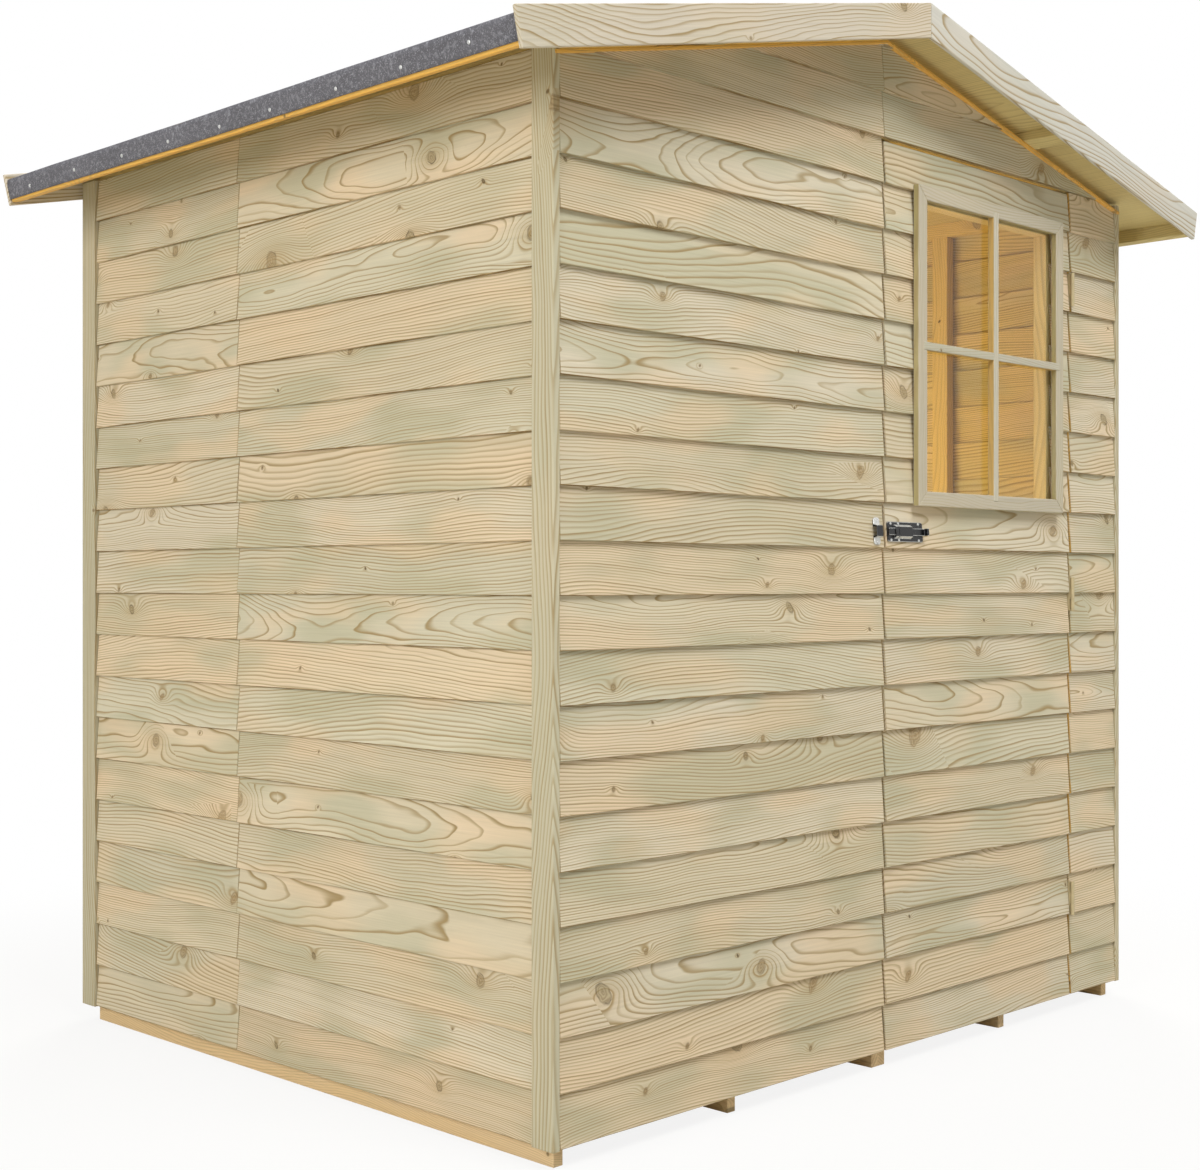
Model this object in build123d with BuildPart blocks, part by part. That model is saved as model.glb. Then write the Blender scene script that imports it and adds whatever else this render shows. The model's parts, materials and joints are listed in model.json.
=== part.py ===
from build123d import *
import os
from math import atan, cos, radians, sin, tan

# Wooden garden shed with lapped boards, an apex roof under felt and one glazed door.
# Millimetres. +Z is up, the door faces -Y, and the origin is under the middle of the roof at ground level.

# Walls
shed_width = 1830.0
shed_depth = 1508.0
course_count = 20
course_pitch = 90.5
lap_step = 7.0
cladding_thickness = 14.0
side_inset = 4.0
soffit_gap = 6.5

# Corner strips
strip_width = 52.0
strip_thickness = 16.0
strip_drop = 2.5

# Floor and bearers
panel_bearer_count = 3
bearer_height = 35.5
bearer_width = 21.5
floor_thickness = 12.0
floor_recess = 22.0
floor_back_recess = 36.0

# Wall frames
stud_depth = 28.0
stud_width = 28.0
joint_stud_width = 44.0
bare_panel_limit = 500.0
rail_height = 28.0
mitre_gap = 1.0
left_joint_from_front = 912.0
right_joint_from_front = 469.0

# Roof
roof_angle = 12.86
eave_overhang = 178.7
front_overhang = 97.0
back_overhang = 10.0
deck_thickness = 16.0
felt_thickness = 3.0
felt_turn_down = 42.0
felt_end_margin = 2.0
eave_batten_height = 32.0
eave_batten_thickness = 20.0
purlin_width = 48.0
purlin_height = 22.0
purlin_run_share = 0.487
barge_height = 66.0
barge_thickness = 8.5
barge_rise = 9.0

# Doorway and door
doorway_width = 708.0
right_panel_width = 199.0
door_gap = 5.5
header_height = 28.0
door_frame_thickness = 32.0
door_stile_width = 34.0
door_stile_setback = 3.0
door_rail_height = 45.0
door_floor_clearance = 8.0
door_brace_width = 60.0

# Window in the door
window_height = 589.0
window_margin = 121.5
window_hinge_margin = 80.5
window_head_margin = 103.5
casing_width = 30.0
casing_thickness = 14.0
casing_cover = 9.0
glass_thickness = 3.0
glass_clearance = 1.0

# Butt hinges on the door's right edge
hinge_height = 75.0
hinge_leaf_thickness = 2.0
hinge_leaf_width = 36.0
hinge_barrel_radius = 4.5
hinge_barrel_clearance = 0.5
hinge_pin_radius = 2.5
hinge_pin_clearance = 0.1
hinge_knuckle_gap = 0.5
hinge_knuckle_shares = (0.34, 0.66)
hinge_place_shares = (0.12, 0.5, 0.88)

# Sliding bolt on the door and its keeper on the wall
bolt_rise_share = 0.365
bolt_window_gap = 5.0
bolt_edge_margin = 4.0
bolt_plate_length = 119.0
bolt_plate_height = 40.0
bolt_plate_thickness = 3.3
bolt_corner_radius = 5.0
bolt_bar_height = 14.5
bolt_bar_thickness = 4.0
bolt_bar_clearance = 0.4
bolt_bar_length = 124.0
bolt_bar_setback = 3.5
bolt_tab_length = 5.0
bolt_tab_height = 9.0
bolt_tip_radius = 3.0
bolt_bridge_wall = 2.0
bolt_bridge_flare = 4.2
bolt_strap_start = 21.0
bolt_strap_length = 10.0
bolt_housing_start = 33.0
bolt_housing_length = 44.0
keeper_edge_margin = 16.0
keeper_width = 20.0
keeper_height = 54.0
keeper_corner_radius = 6.0
keeper_side_clearance = 1.5
keeper_top_clearance = 1.6

# Values worked out from the ones above
rounding_share = 1e-6
slope_cos = cos(radians(roof_angle))
slope_sin = sin(radians(roof_angle))
slope_tan = tan(radians(roof_angle))
half_width = shed_width / 2
cladding_base = bearer_height
wall_top = cladding_base + course_count * course_pitch
floor_top = bearer_height + floor_thickness
deck_top_depth = barge_rise + felt_thickness
deck_bottom_depth = deck_top_depth + deck_thickness
gable_depth = deck_bottom_depth + purlin_height
side_face = half_width - side_inset
ridge_height = wall_top + soffit_gap + side_face * slope_tan + deck_bottom_depth / slope_cos
roof_run = (half_width + eave_overhang) / slope_cos
felt_run = roof_run - felt_end_margin
deck_run = felt_run - felt_thickness
overall_depth = shed_depth + front_overhang + back_overhang + 2 * barge_thickness
front_face = -overall_depth / 2 + barge_thickness + front_overhang
back_face = front_face + shed_depth
roof_front = front_face - front_overhang
roof_back = back_face + back_overhang
front_half = half_width - strip_thickness
frame_front = front_face + cladding_thickness
frame_back = back_face - cladding_thickness
inner_front = frame_front + stud_depth
inner_back = frame_back - stud_depth
side_frame_outer = side_face - cladding_thickness
side_frame_inner = side_frame_outer - stud_depth
doorway_right = front_half - right_panel_width
doorway_left = doorway_right - doorway_width
door_left = doorway_left + door_gap
door_right = doorway_right - door_gap
door_top = wall_top - door_gap
window_left = door_left + window_margin
window_right = door_right - window_hinge_margin
window_top = door_top - window_head_margin
window_sill = window_top - window_height
sides = (("left", -1), ("right", 1))
low_corner = (Align.MIN, Align.MIN, Align.MIN)

os.makedirs("parts", exist_ok=True)


def save(piece, name):
    """Label a finished piece and write it to its own file."""
    piece.part.label = name
    export_step(piece.part, f"parts/{name}.step")


def section_at(y):
    """Plane across the shed at depth y, with X to the right and Z up."""
    return Plane.XZ.offset(-y)


def soffit_height(x):
    """Height of the roof deck's underside."""
    return ridge_height - deck_bottom_depth / slope_cos - abs(x) * slope_tan


def gable_height(x):
    """Height of the sloping top edge of the gable boards."""
    return ridge_height - gable_depth / slope_cos - abs(x) * slope_tan


def lap_outline(bottom, top):
    """Section of a lapped wall as (depth behind the boards' proud edges, height) points."""
    points = [(cladding_thickness, bottom)]
    course = int((bottom - cladding_base) / course_pitch + rounding_share)
    lower = bottom
    while lower < top:
        base = cladding_base + course * course_pitch
        upper = min(base + course_pitch, top)
        points.append((lap_step * (lower - base) / course_pitch, lower))
        points.append((lap_step * (upper - base) / course_pitch, upper))
        lower = upper
        course += 1
    points.append((cladding_thickness, top))
    return points


def front_outline(bottom, top):
    """Lapped section of the front wall or the door, on the YZ plane."""
    return [(front_face + depth, height) for depth, height in lap_outline(bottom, top)]


def on_slope(side, run, depth):
    """Point of the roof's section: run down the slope and depth below the barge boards' top edge."""
    x = run * slope_cos - depth * slope_sin
    return (side * x, ridge_height - run * slope_sin - depth * slope_cos)


def slope_layer(side, top, bottom, end):
    """Section of a layer of one slope, from the ridge's upright mitre to its square eave end."""
    return [
        (0, ridge_height - top / slope_cos),
        on_slope(side, end, top),
        on_slope(side, end, bottom),
        (0, ridge_height - bottom / slope_cos),
    ]


def above_gable(drop):
    """Region over the gable line, lowered by drop, that is cut from the walls below the roof."""
    reach = half_width + eave_overhang
    return [
        (-reach, gable_height(reach) - drop),
        (0, gable_height(0) - drop),
        (reach, gable_height(reach) - drop),
        (reach, ridge_height),
        (-reach, ridge_height),
    ]


# Floor: two panels, each carried by three bearers that run front to back
floor_half = half_width - floor_recess
floor_front = front_face + floor_recess
floor_depth = shed_depth - floor_recess - floor_back_recess
for name, side in sides:
    panel_start = min(side * floor_half, 0)
    with BuildPart() as floor_panel:
        with Locations((panel_start, floor_front, bearer_height)):
            Box(floor_half, floor_depth, floor_thickness, align=low_corner)
    save(floor_panel, f"floor_{name}")

    bearer_step = (floor_half - bearer_width) / (panel_bearer_count - 1)
    with BuildPart() as bearers:
        for index in range(panel_bearer_count):
            with Locations((panel_start + index * bearer_step, floor_front, 0)):
                Box(bearer_width, floor_depth, bearer_height, align=low_corner)
    save(bearers, f"bearers_{name}")

# Front wall boards: left of the door up to the gable, right of the door, and over the door
with BuildPart() as front_wall_left:
    with BuildSketch(Plane.YZ.offset(-front_half)):
        with BuildLine():
            Polyline(*front_outline(cladding_base, gable_height(0)), close=True)
        make_face()
    extrude(amount=front_half + doorway_left)
    with BuildSketch(Plane.XZ):
        with BuildLine():
            Polyline(*above_gable(0), close=True)
        make_face()
    extrude(amount=shed_depth, both=True, mode=Mode.SUBTRACT)
save(front_wall_left, "front_wall_left")

with BuildPart() as front_wall_right:
    with BuildSketch(Plane.YZ.offset(doorway_right)):
        with BuildLine():
            Polyline(*front_outline(cladding_base, wall_top), close=True)
        make_face()
    extrude(amount=front_half - doorway_right)
    with BuildSketch(Plane.XZ):
        with BuildLine():
            Polyline(*above_gable(0), close=True)
        make_face()
    extrude(amount=shed_depth, both=True, mode=Mode.SUBTRACT)
save(front_wall_right, "front_wall_right")

with BuildPart() as front_wall_gable:
    with BuildSketch(Plane.YZ.offset(doorway_left)):
        with BuildLine():
            Polyline(*front_outline(wall_top, gable_height(0)), close=True)
        make_face()
    extrude(amount=front_half - doorway_left)
    with BuildSketch(Plane.XZ):
        with BuildLine():
            Polyline(*above_gable(0), close=True)
        make_face()
    extrude(amount=shed_depth, both=True, mode=Mode.SUBTRACT)
save(front_wall_gable, "front_wall_gable")

# Back wall boards, one gable panel
back_laps = lap_outline(cladding_base, gable_height(0))
back_outline = [(back_face - depth, height) for depth, height in back_laps]
with BuildPart() as back_wall:
    with BuildSketch(Plane.YZ.offset(-front_half)):
        with BuildLine():
            Polyline(*back_outline, close=True)
        make_face()
    extrude(amount=2 * front_half)
    with BuildSketch(Plane.XZ):
        with BuildLine():
            Polyline(*above_gable(0), close=True)
        make_face()
    extrude(amount=shed_depth, both=True, mode=Mode.SUBTRACT)
save(back_wall, "back_wall")

# Side wall boards, between the corner strips
for name, side in sides:
    side_laps = lap_outline(cladding_base, wall_top)
    side_outline = [(side * (side_face - depth), height) for depth, height in side_laps]
    with BuildPart() as side_wall:
        with BuildSketch(section_at(back_face - strip_width)):
            with BuildLine():
                Polyline(*side_outline, close=True)
            make_face()
        extrude(amount=shed_depth - 2 * strip_width)
    save(side_wall, f"{name}_wall")

# Corner strips over the ends of the front and back walls
strip_bottom = cladding_base - strip_drop
for end, strip_start in (("front", front_face), ("back", back_face - strip_width)):
    for name, side in sides:
        strip_x = side * (half_width - strip_thickness / 2)
        with BuildPart() as corner_strip:
            with Locations((strip_x, strip_start, strip_bottom)):
                Box(
                    strip_thickness,
                    strip_width,
                    wall_top - strip_bottom,
                    align=(Align.CENTER, Align.MIN, Align.MIN),
                )
        save(corner_strip, f"corner_strip_{end}_{name}")

# Front and back wall frames: studs that stand on bottom rails and end under the gable rails
stud_base = floor_top + rail_height
gable_rail_drop = rail_height / slope_cos
middle_left_stud = (doorway_left - front_half - stud_width) / 2
front_studs = (
    -front_half,
    middle_left_stud,
    doorway_left - stud_width,
    doorway_right,
    front_half - stud_width,
)
middle_back_stud = (front_half - stud_width) / 2
back_studs = (
    -front_half,
    -middle_back_stud - stud_width,
    -stud_width / 2,
    middle_back_stud,
    front_half - stud_width,
)
front_rails = ((-front_half, doorway_left), (doorway_right, front_half))
back_rails = ((-front_half, front_half),)
for name, frame_y, studs, rails in (
    ("front", frame_front, front_studs, front_rails),
    ("back", inner_back, back_studs, back_rails),
):
    with BuildPart() as wall_studs:
        for stud_x in studs:
            with Locations((stud_x, frame_y, stud_base)):
                Box(stud_width, stud_depth, ridge_height - stud_base, align=low_corner)
        with BuildSketch(Plane.XZ):
            with BuildLine():
                Polyline(*above_gable(gable_rail_drop), close=True)
            make_face()
        extrude(amount=shed_depth, both=True, mode=Mode.SUBTRACT)
    save(wall_studs, f"{name}_wall_studs")

    with BuildPart() as wall_rails:
        for rail_start, rail_end in rails:
            with Locations((rail_start, frame_y, floor_top)):
                Box(rail_end - rail_start, stud_depth, rail_height, align=low_corner)
        for side_name, side in sides:
            rail_inner = mitre_gap / 2
            with BuildSketch(section_at(frame_y + stud_depth)):
                with BuildLine():
                    Polyline(
                        (side * rail_inner, gable_height(rail_inner)),
                        (side * front_half, gable_height(front_half)),
                        (side * front_half, gable_height(front_half) - gable_rail_drop),
                        (side * rail_inner, gable_height(rail_inner) - gable_rail_drop),
                        close=True,
                    )
                make_face()
            extrude(amount=stud_depth)
    save(wall_rails, f"{name}_wall_rails")

# Header over the doorway, cut off under the gable rails
with BuildPart() as door_header:
    with Locations((doorway_left, frame_front, wall_top)):
        Box(doorway_width, stud_depth, header_height, align=low_corner)
    with BuildSketch(Plane.XZ):
        with BuildLine():
            Polyline(*above_gable(gable_rail_drop), close=True)
        make_face()
    extrude(amount=shed_depth, both=True, mode=Mode.SUBTRACT)
save(door_header, "door_header")

# Side wall frames, between the front and back frames; a wide panel has a stud in its middle
side_rail_bottom = soffit_height(side_frame_outer) - rail_height
side_frame_depth = inner_back - inner_front
for name, side, joint_from_front in (
    ("left", -1, left_joint_from_front),
    ("right", 1, right_joint_from_front),
):
    joint_y = front_face + joint_from_front
    side_stud_centres = [
        (inner_front + stud_width / 2, stud_width),
        (joint_y, joint_stud_width),
        (inner_back - stud_width / 2, stud_width),
    ]
    for panel_start, panel_end in ((inner_front, joint_y), (joint_y, inner_back)):
        if panel_end - panel_start > bare_panel_limit:
            side_stud_centres.append(((panel_start + panel_end) / 2, stud_width))
    frame_x = side * (side_frame_outer - stud_depth / 2)
    with BuildPart() as side_studs:
        for stud_y, width in side_stud_centres:
            with Locations((frame_x, stud_y, stud_base)):
                Box(
                    stud_depth,
                    width,
                    side_rail_bottom - stud_base,
                    align=(Align.CENTER, Align.CENTER, Align.MIN),
                )
    save(side_studs, f"{name}_wall_studs")

    with BuildPart() as side_rails:
        with Locations((frame_x, (inner_front + inner_back) / 2, floor_top)):
            Box(stud_depth, side_frame_depth, rail_height, align=(Align.CENTER, Align.CENTER, Align.MIN))
        with BuildSketch(section_at(inner_back)):
            with BuildLine():
                Polyline(
                    (side * side_frame_outer, side_rail_bottom),
                    (side * side_frame_outer, soffit_height(side_frame_outer)),
                    (side * side_frame_inner, soffit_height(side_frame_inner)),
                    (side * side_frame_inner, side_rail_bottom),
                    close=True,
                )
            make_face()
        extrude(amount=side_frame_depth)
    save(side_rails, f"{name}_wall_rails")

# Roof: deck panels mitred at the ridge, an eave batten and a purlin under each
roof_depth = roof_back - roof_front
purlin_run = purlin_run_share * roof_run
for name, side in sides:
    with BuildPart() as roof_panel:
        with BuildSketch(section_at(roof_back)):
            with BuildLine():
                Polyline(*slope_layer(side, deck_top_depth, deck_bottom_depth, deck_run), close=True)
            make_face()
        extrude(amount=roof_depth)
    save(roof_panel, f"roof_panel_{name}")

    batten_bottom = deck_bottom_depth + eave_batten_height
    with BuildPart() as eave_batten:
        with BuildSketch(section_at(roof_back)):
            with BuildLine():
                Polyline(
                    on_slope(side, deck_run - eave_batten_thickness, deck_bottom_depth),
                    on_slope(side, deck_run, deck_bottom_depth),
                    on_slope(side, deck_run, batten_bottom),
                    on_slope(side, deck_run - eave_batten_thickness, batten_bottom),
                    close=True,
                )
            make_face()
        extrude(amount=roof_depth)
    save(eave_batten, f"eave_batten_{name}")

    with BuildPart() as purlin:
        with BuildSketch(section_at(roof_back)):
            with BuildLine():
                Polyline(
                    on_slope(side, purlin_run - purlin_width / 2, deck_bottom_depth),
                    on_slope(side, purlin_run + purlin_width / 2, deck_bottom_depth),
                    on_slope(side, purlin_run + purlin_width / 2, gable_depth),
                    on_slope(side, purlin_run - purlin_width / 2, gable_depth),
                    close=True,
                )
            make_face()
        extrude(amount=roof_depth)
    save(purlin, f"purlin_{name}")

    for end, barge_back in (("front", roof_front), ("back", roof_back + barge_thickness)):
        with BuildPart() as barge_board:
            with BuildSketch(section_at(barge_back)):
                with BuildLine():
                    Polyline(*slope_layer(side, 0, barge_height, roof_run), close=True)
                make_face()
            extrude(amount=barge_thickness)
        save(barge_board, f"{end}_barge_board_{name}")

# Felt over both slopes, turned down over the eave edges
felt_bottom = barge_rise + felt_turn_down
felt_outline = [(0, ridge_height - barge_rise / slope_cos)]
felt_outline += [on_slope(1, felt_run, barge_rise), on_slope(1, felt_run, felt_bottom)]
felt_outline += [on_slope(1, deck_run, felt_bottom), on_slope(1, deck_run, deck_top_depth)]
felt_outline += [(0, ridge_height - deck_top_depth / slope_cos)]
felt_outline += [on_slope(-1, deck_run, deck_top_depth), on_slope(-1, deck_run, felt_bottom)]
felt_outline += [on_slope(-1, felt_run, felt_bottom), on_slope(-1, felt_run, barge_rise)]
with BuildPart() as roof_felt:
    with BuildSketch(section_at(roof_back)):
        with BuildLine():
            Polyline(*felt_outline, close=True)
        make_face()
    extrude(amount=roof_depth)
save(roof_felt, "roof_felt")

# Door boards, below, above and on both sides of the window
pane_left = window_left - casing_cover
pane_right = window_right + casing_cover
pane_bottom = window_sill - casing_cover
pane_top = window_top + casing_cover
door_width = door_right - door_left
with BuildPart() as door_boards_below:
    with BuildSketch(Plane.YZ.offset(door_left)):
        with BuildLine():
            Polyline(*front_outline(cladding_base, pane_bottom), close=True)
        make_face()
    extrude(amount=door_width)
save(door_boards_below, "door_boards_below_window")

with BuildPart() as door_boards_above:
    with BuildSketch(Plane.YZ.offset(door_left)):
        with BuildLine():
            Polyline(*front_outline(pane_top, door_top), close=True)
        make_face()
    extrude(amount=door_width)
save(door_boards_above, "door_boards_above_window")

with BuildPart() as door_boards_beside:
    for board_start, board_end in ((door_left, pane_left), (pane_right, door_right)):
        with BuildSketch(Plane.YZ.offset(board_start)):
            with BuildLine():
                Polyline(*front_outline(pane_bottom, pane_top), close=True)
            make_face()
        extrude(amount=board_end - board_start)
save(door_boards_beside, "door_boards_beside_window")

# Door frame behind the boards: stiles, rails and a diagonal brace
door_frame_bottom = floor_top + door_floor_clearance
stile_left = door_left + door_stile_setback
with BuildPart() as door_stiles:
    for stile_x in (stile_left, door_right - door_stile_width):
        with Locations((stile_x, frame_front, door_frame_bottom)):
            Box(door_stile_width, door_frame_thickness, door_top - door_frame_bottom, align=low_corner)
    for stile_x in (window_left - door_stile_width, window_right):
        with Locations((stile_x, frame_front, window_sill)):
            Box(door_stile_width, door_frame_thickness, window_height, align=low_corner)
save(door_stiles, "door_stiles")

rail_left = stile_left + door_stile_width
rail_right = door_right - door_stile_width
middle_rail_bottom = window_sill - door_rail_height
with BuildPart() as door_rails:
    for rail_z in (door_frame_bottom, middle_rail_bottom, window_top):
        with Locations((rail_left, frame_front, rail_z)):
            Box(rail_right - rail_left, door_frame_thickness, door_rail_height, align=low_corner)
save(door_rails, "door_rails")

brace_bottom = door_frame_bottom + door_rail_height
with BuildPart() as door_brace:
    with BuildSketch(section_at(frame_front + door_frame_thickness)):
        with BuildLine():
            Polyline(
                (rail_right - door_brace_width, brace_bottom),
                (rail_right, brace_bottom),
                (rail_left + door_brace_width, middle_rail_bottom),
                (rail_left, middle_rail_bottom),
                close=True,
            )
        make_face()
    extrude(amount=door_frame_thickness)
save(door_brace, "door_brace")

# Window casing laid on the boards, mitred at its corners, and the pane behind it
casing_left = window_left - casing_width
casing_right = window_right + casing_width
casing_bottom = window_sill - casing_width
casing_top = window_top + casing_width
with BuildPart() as window_jambs:
    for outer_x, inner_x in ((casing_left, window_left), (casing_right, window_right)):
        with BuildSketch(section_at(front_face)):
            with BuildLine():
                Polyline(
                    (outer_x, casing_bottom),
                    (inner_x, window_sill),
                    (inner_x, window_top),
                    (outer_x, casing_top),
                    close=True,
                )
            make_face()
        extrude(amount=casing_thickness)
save(window_jambs, "window_jambs")

with BuildPart() as window_head_and_sill:
    for outer_z, inner_z in ((casing_bottom, window_sill), (casing_top, window_top)):
        with BuildSketch(section_at(front_face)):
            with BuildLine():
                Polyline(
                    (casing_left, outer_z),
                    (window_left, inner_z),
                    (window_right, inner_z),
                    (casing_right, outer_z),
                    close=True,
                )
            make_face()
        extrude(amount=casing_thickness)
save(window_head_and_sill, "window_head_and_sill")

with BuildPart() as window_glass:
    with Locations((pane_left + glass_clearance, front_face, pane_bottom + glass_clearance)):
        Box(
            pane_right - pane_left - 2 * glass_clearance,
            glass_thickness,
            pane_top - pane_bottom - 2 * glass_clearance,
            align=low_corner,
        )
save(window_glass, "window_glass")

# Butt hinges: the barrels stand in front of the joint, and the leaves lie in the gap beside it
hinge_x = (door_right + doorway_right) / 2
hinge_y = front_face - hinge_barrel_clearance - hinge_barrel_radius
leaf_front = front_face + hinge_barrel_clearance
leaf_back = leaf_front + hinge_leaf_width
hinge_centres = [cladding_base + share * (door_top - cladding_base) for share in hinge_place_shares]
hinge_bottoms = [centre - hinge_height / 2 for centre in hinge_centres]
lower_joint, upper_joint = [share * hinge_height for share in hinge_knuckle_shares]
door_knuckle = upper_joint - lower_joint - 2 * hinge_knuckle_gap
with BuildPart() as hinge_frame_leaves:
    for hinge_z in hinge_bottoms:
        with Locations((doorway_right - hinge_leaf_thickness, leaf_front, hinge_z)):
            Box(hinge_leaf_thickness, hinge_leaf_width, hinge_height, align=low_corner)
        lower_knuckle = (hinge_z, lower_joint)
        upper_knuckle = (hinge_z + upper_joint, hinge_height - upper_joint)
        for knuckle_z, knuckle_height in (lower_knuckle, upper_knuckle):
            with Locations((hinge_x, hinge_y, knuckle_z)):
                Cylinder(hinge_barrel_radius, knuckle_height, align=(Align.CENTER, Align.CENTER, Align.MIN))
            with Locations((doorway_right - hinge_leaf_thickness, hinge_y, knuckle_z)):
                Box(hinge_leaf_thickness, leaf_front - hinge_y, knuckle_height, align=low_corner)
        with Locations((hinge_x, hinge_y, hinge_z)):
            Cylinder(hinge_pin_radius, hinge_height, align=(Align.CENTER, Align.CENTER, Align.MIN))
save(hinge_frame_leaves, "hinge_frame_leaves")

with BuildPart() as hinge_door_leaves:
    for hinge_z in hinge_bottoms:
        knuckle_z = hinge_z + lower_joint + hinge_knuckle_gap
        with Locations((door_right, leaf_front, hinge_z)):
            Box(hinge_leaf_thickness, hinge_leaf_width, hinge_height, align=low_corner)
        with Locations((hinge_x, hinge_y, knuckle_z)):
            Cylinder(hinge_barrel_radius, door_knuckle, align=(Align.CENTER, Align.CENTER, Align.MIN))
        with Locations((door_right, hinge_y, knuckle_z)):
            Box(hinge_leaf_thickness, leaf_front - hinge_y, door_knuckle, align=low_corner)
        with Locations((hinge_x, hinge_y, hinge_z)):
            Cylinder(
                hinge_pin_radius + hinge_pin_clearance,
                hinge_height,
                align=(Align.CENTER, Align.CENTER, Align.MIN),
                mode=Mode.SUBTRACT,
            )
save(hinge_door_leaves, "hinge_door_leaves")

# Sliding bolt, lying on the sloping face of one board of the door, shown drawn back
board_tilt = atan(lap_step / course_pitch)
bolt_limit = window_sill - casing_width - bolt_window_gap - bolt_plate_height / 2
bolt_course = int((bolt_limit - cladding_base) / course_pitch - bolt_rise_share)
bolt_height = cladding_base + (bolt_course + bolt_rise_share) * course_pitch
bolt_plane = Plane(
    origin=(0, front_face + bolt_rise_share * lap_step, bolt_height),
    x_dir=(1, 0, 0),
    z_dir=(0, -cos(board_tilt), sin(board_tilt)),
)
left_middle = (Align.MIN, Align.CENTER)


def bridge_sketch(x, channel, foot, top):
    """Section of a pressed bridge at x, with sloping sides, over a channel for the bar."""
    across = Plane(origin=bolt_plane.origin + Vector(x, 0, 0), x_dir=bolt_plane.z_dir, z_dir=(1, 0, 0))
    half_top = channel / 2 + bolt_bridge_wall
    half_foot = half_top + bolt_bridge_flare
    with BuildSketch(across) as section:
        with BuildLine():
            Polyline((foot, -half_foot), (top, -half_top), (top, half_top), (foot, half_foot), close=True)
        make_face()
    return section.sketch


plate_left = door_left + bolt_edge_margin
bolt_channel = bolt_bar_height + 2 * bolt_bar_clearance
channel_depth = bolt_bar_thickness + 2 * bolt_bar_clearance
bridge_top = bolt_plate_thickness + channel_depth + bolt_bridge_wall
bar_level = bolt_plate_thickness + bolt_bar_clearance
with BuildPart() as bolt_plate:
    with BuildSketch(bolt_plane):
        with Locations((plate_left, 0)):
            RectangleRounded(bolt_plate_length, bolt_plate_height, bolt_corner_radius, align=left_middle)
    extrude(amount=bolt_plate_thickness)
    for bridge_start, bridge_length in (
        (bolt_strap_start, bolt_strap_length),
        (bolt_housing_start, bolt_housing_length),
    ):
        bridge = bridge_sketch(plate_left + bridge_start, bolt_channel, bolt_plate_thickness, bridge_top)
        extrude(bridge, amount=bridge_length)
    with BuildSketch(bolt_plane.offset(bolt_plate_thickness)):
        with Locations((plate_left, 0)):
            Rectangle(bolt_plate_length, bolt_channel, align=left_middle)
    extrude(amount=channel_depth, mode=Mode.SUBTRACT)
save(bolt_plate, "bolt_plate")

bar_left = door_left + bolt_bar_setback
with BuildPart() as bolt_bar:
    with BuildSketch(bolt_plane.offset(bar_level)) as bar_outline:
        with Locations((bar_left, 0)):
            Rectangle(bolt_bar_length, bolt_bar_height, align=left_middle)
        fillet(bar_outline.vertices().group_by(Axis.X)[0], bolt_tip_radius)
    extrude(amount=bolt_bar_thickness)
    with BuildSketch(bolt_plane.offset(bar_level + bolt_bar_thickness)):
        with Locations((bar_left + bolt_bar_length - bolt_tab_length, 0)):
            Rectangle(bolt_tab_length, bolt_bar_height, align=left_middle)
    extrude(amount=bolt_tab_height)
save(bolt_bar, "bolt_bar")

# Keeper: a raised strap with sloping sides and two rounded feet, on the wall beside the door
keeper_left = doorway_left - keeper_edge_margin - keeper_width
keeper_channel = bolt_bar_height + 2 * keeper_side_clearance
keeper_rise = bar_level + bolt_bar_thickness + keeper_top_clearance
with BuildPart() as bolt_keeper:
    with BuildSketch(bolt_plane):
        with Locations((keeper_left, 0)):
            RectangleRounded(keeper_width, keeper_height, keeper_corner_radius, align=left_middle)
    extrude(amount=bolt_plate_thickness)
    bridge = bridge_sketch(keeper_left, keeper_channel, 0, keeper_rise + bolt_bridge_wall)
    extrude(bridge, amount=keeper_width)
    with BuildSketch(bolt_plane):
        with Locations((keeper_left, 0)):
            Rectangle(keeper_width, keeper_channel, align=left_middle)
    extrude(amount=keeper_rise, mode=Mode.SUBTRACT)
save(bolt_keeper, "bolt_keeper")
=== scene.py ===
import json
import math
import random
from types import SimpleNamespace

import bmesh
import bpy
from bpy.props import FloatProperty, FloatVectorProperty, IntProperty, PointerProperty
from bpy.types import Operator, Panel, PropertyGroup
from mathutils import Matrix, Vector, noise

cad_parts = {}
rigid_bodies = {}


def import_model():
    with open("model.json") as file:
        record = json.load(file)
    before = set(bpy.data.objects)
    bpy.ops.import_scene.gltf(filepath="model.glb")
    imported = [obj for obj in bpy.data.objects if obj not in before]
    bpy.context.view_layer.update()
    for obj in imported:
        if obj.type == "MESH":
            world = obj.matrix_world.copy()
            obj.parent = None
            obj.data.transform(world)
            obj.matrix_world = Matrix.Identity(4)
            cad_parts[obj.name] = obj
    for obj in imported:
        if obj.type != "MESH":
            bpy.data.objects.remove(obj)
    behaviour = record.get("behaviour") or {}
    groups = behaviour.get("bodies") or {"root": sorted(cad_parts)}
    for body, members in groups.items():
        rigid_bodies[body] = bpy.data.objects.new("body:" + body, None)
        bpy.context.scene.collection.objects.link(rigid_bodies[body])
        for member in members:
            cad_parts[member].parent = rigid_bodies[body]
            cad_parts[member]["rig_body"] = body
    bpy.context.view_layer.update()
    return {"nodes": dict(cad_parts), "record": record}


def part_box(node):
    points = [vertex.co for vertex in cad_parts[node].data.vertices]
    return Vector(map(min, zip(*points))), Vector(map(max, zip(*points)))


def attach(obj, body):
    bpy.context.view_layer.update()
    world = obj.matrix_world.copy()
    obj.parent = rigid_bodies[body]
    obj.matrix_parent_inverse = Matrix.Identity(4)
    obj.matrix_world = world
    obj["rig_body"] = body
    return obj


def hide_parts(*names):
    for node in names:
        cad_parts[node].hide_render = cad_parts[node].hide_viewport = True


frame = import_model()

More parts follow.
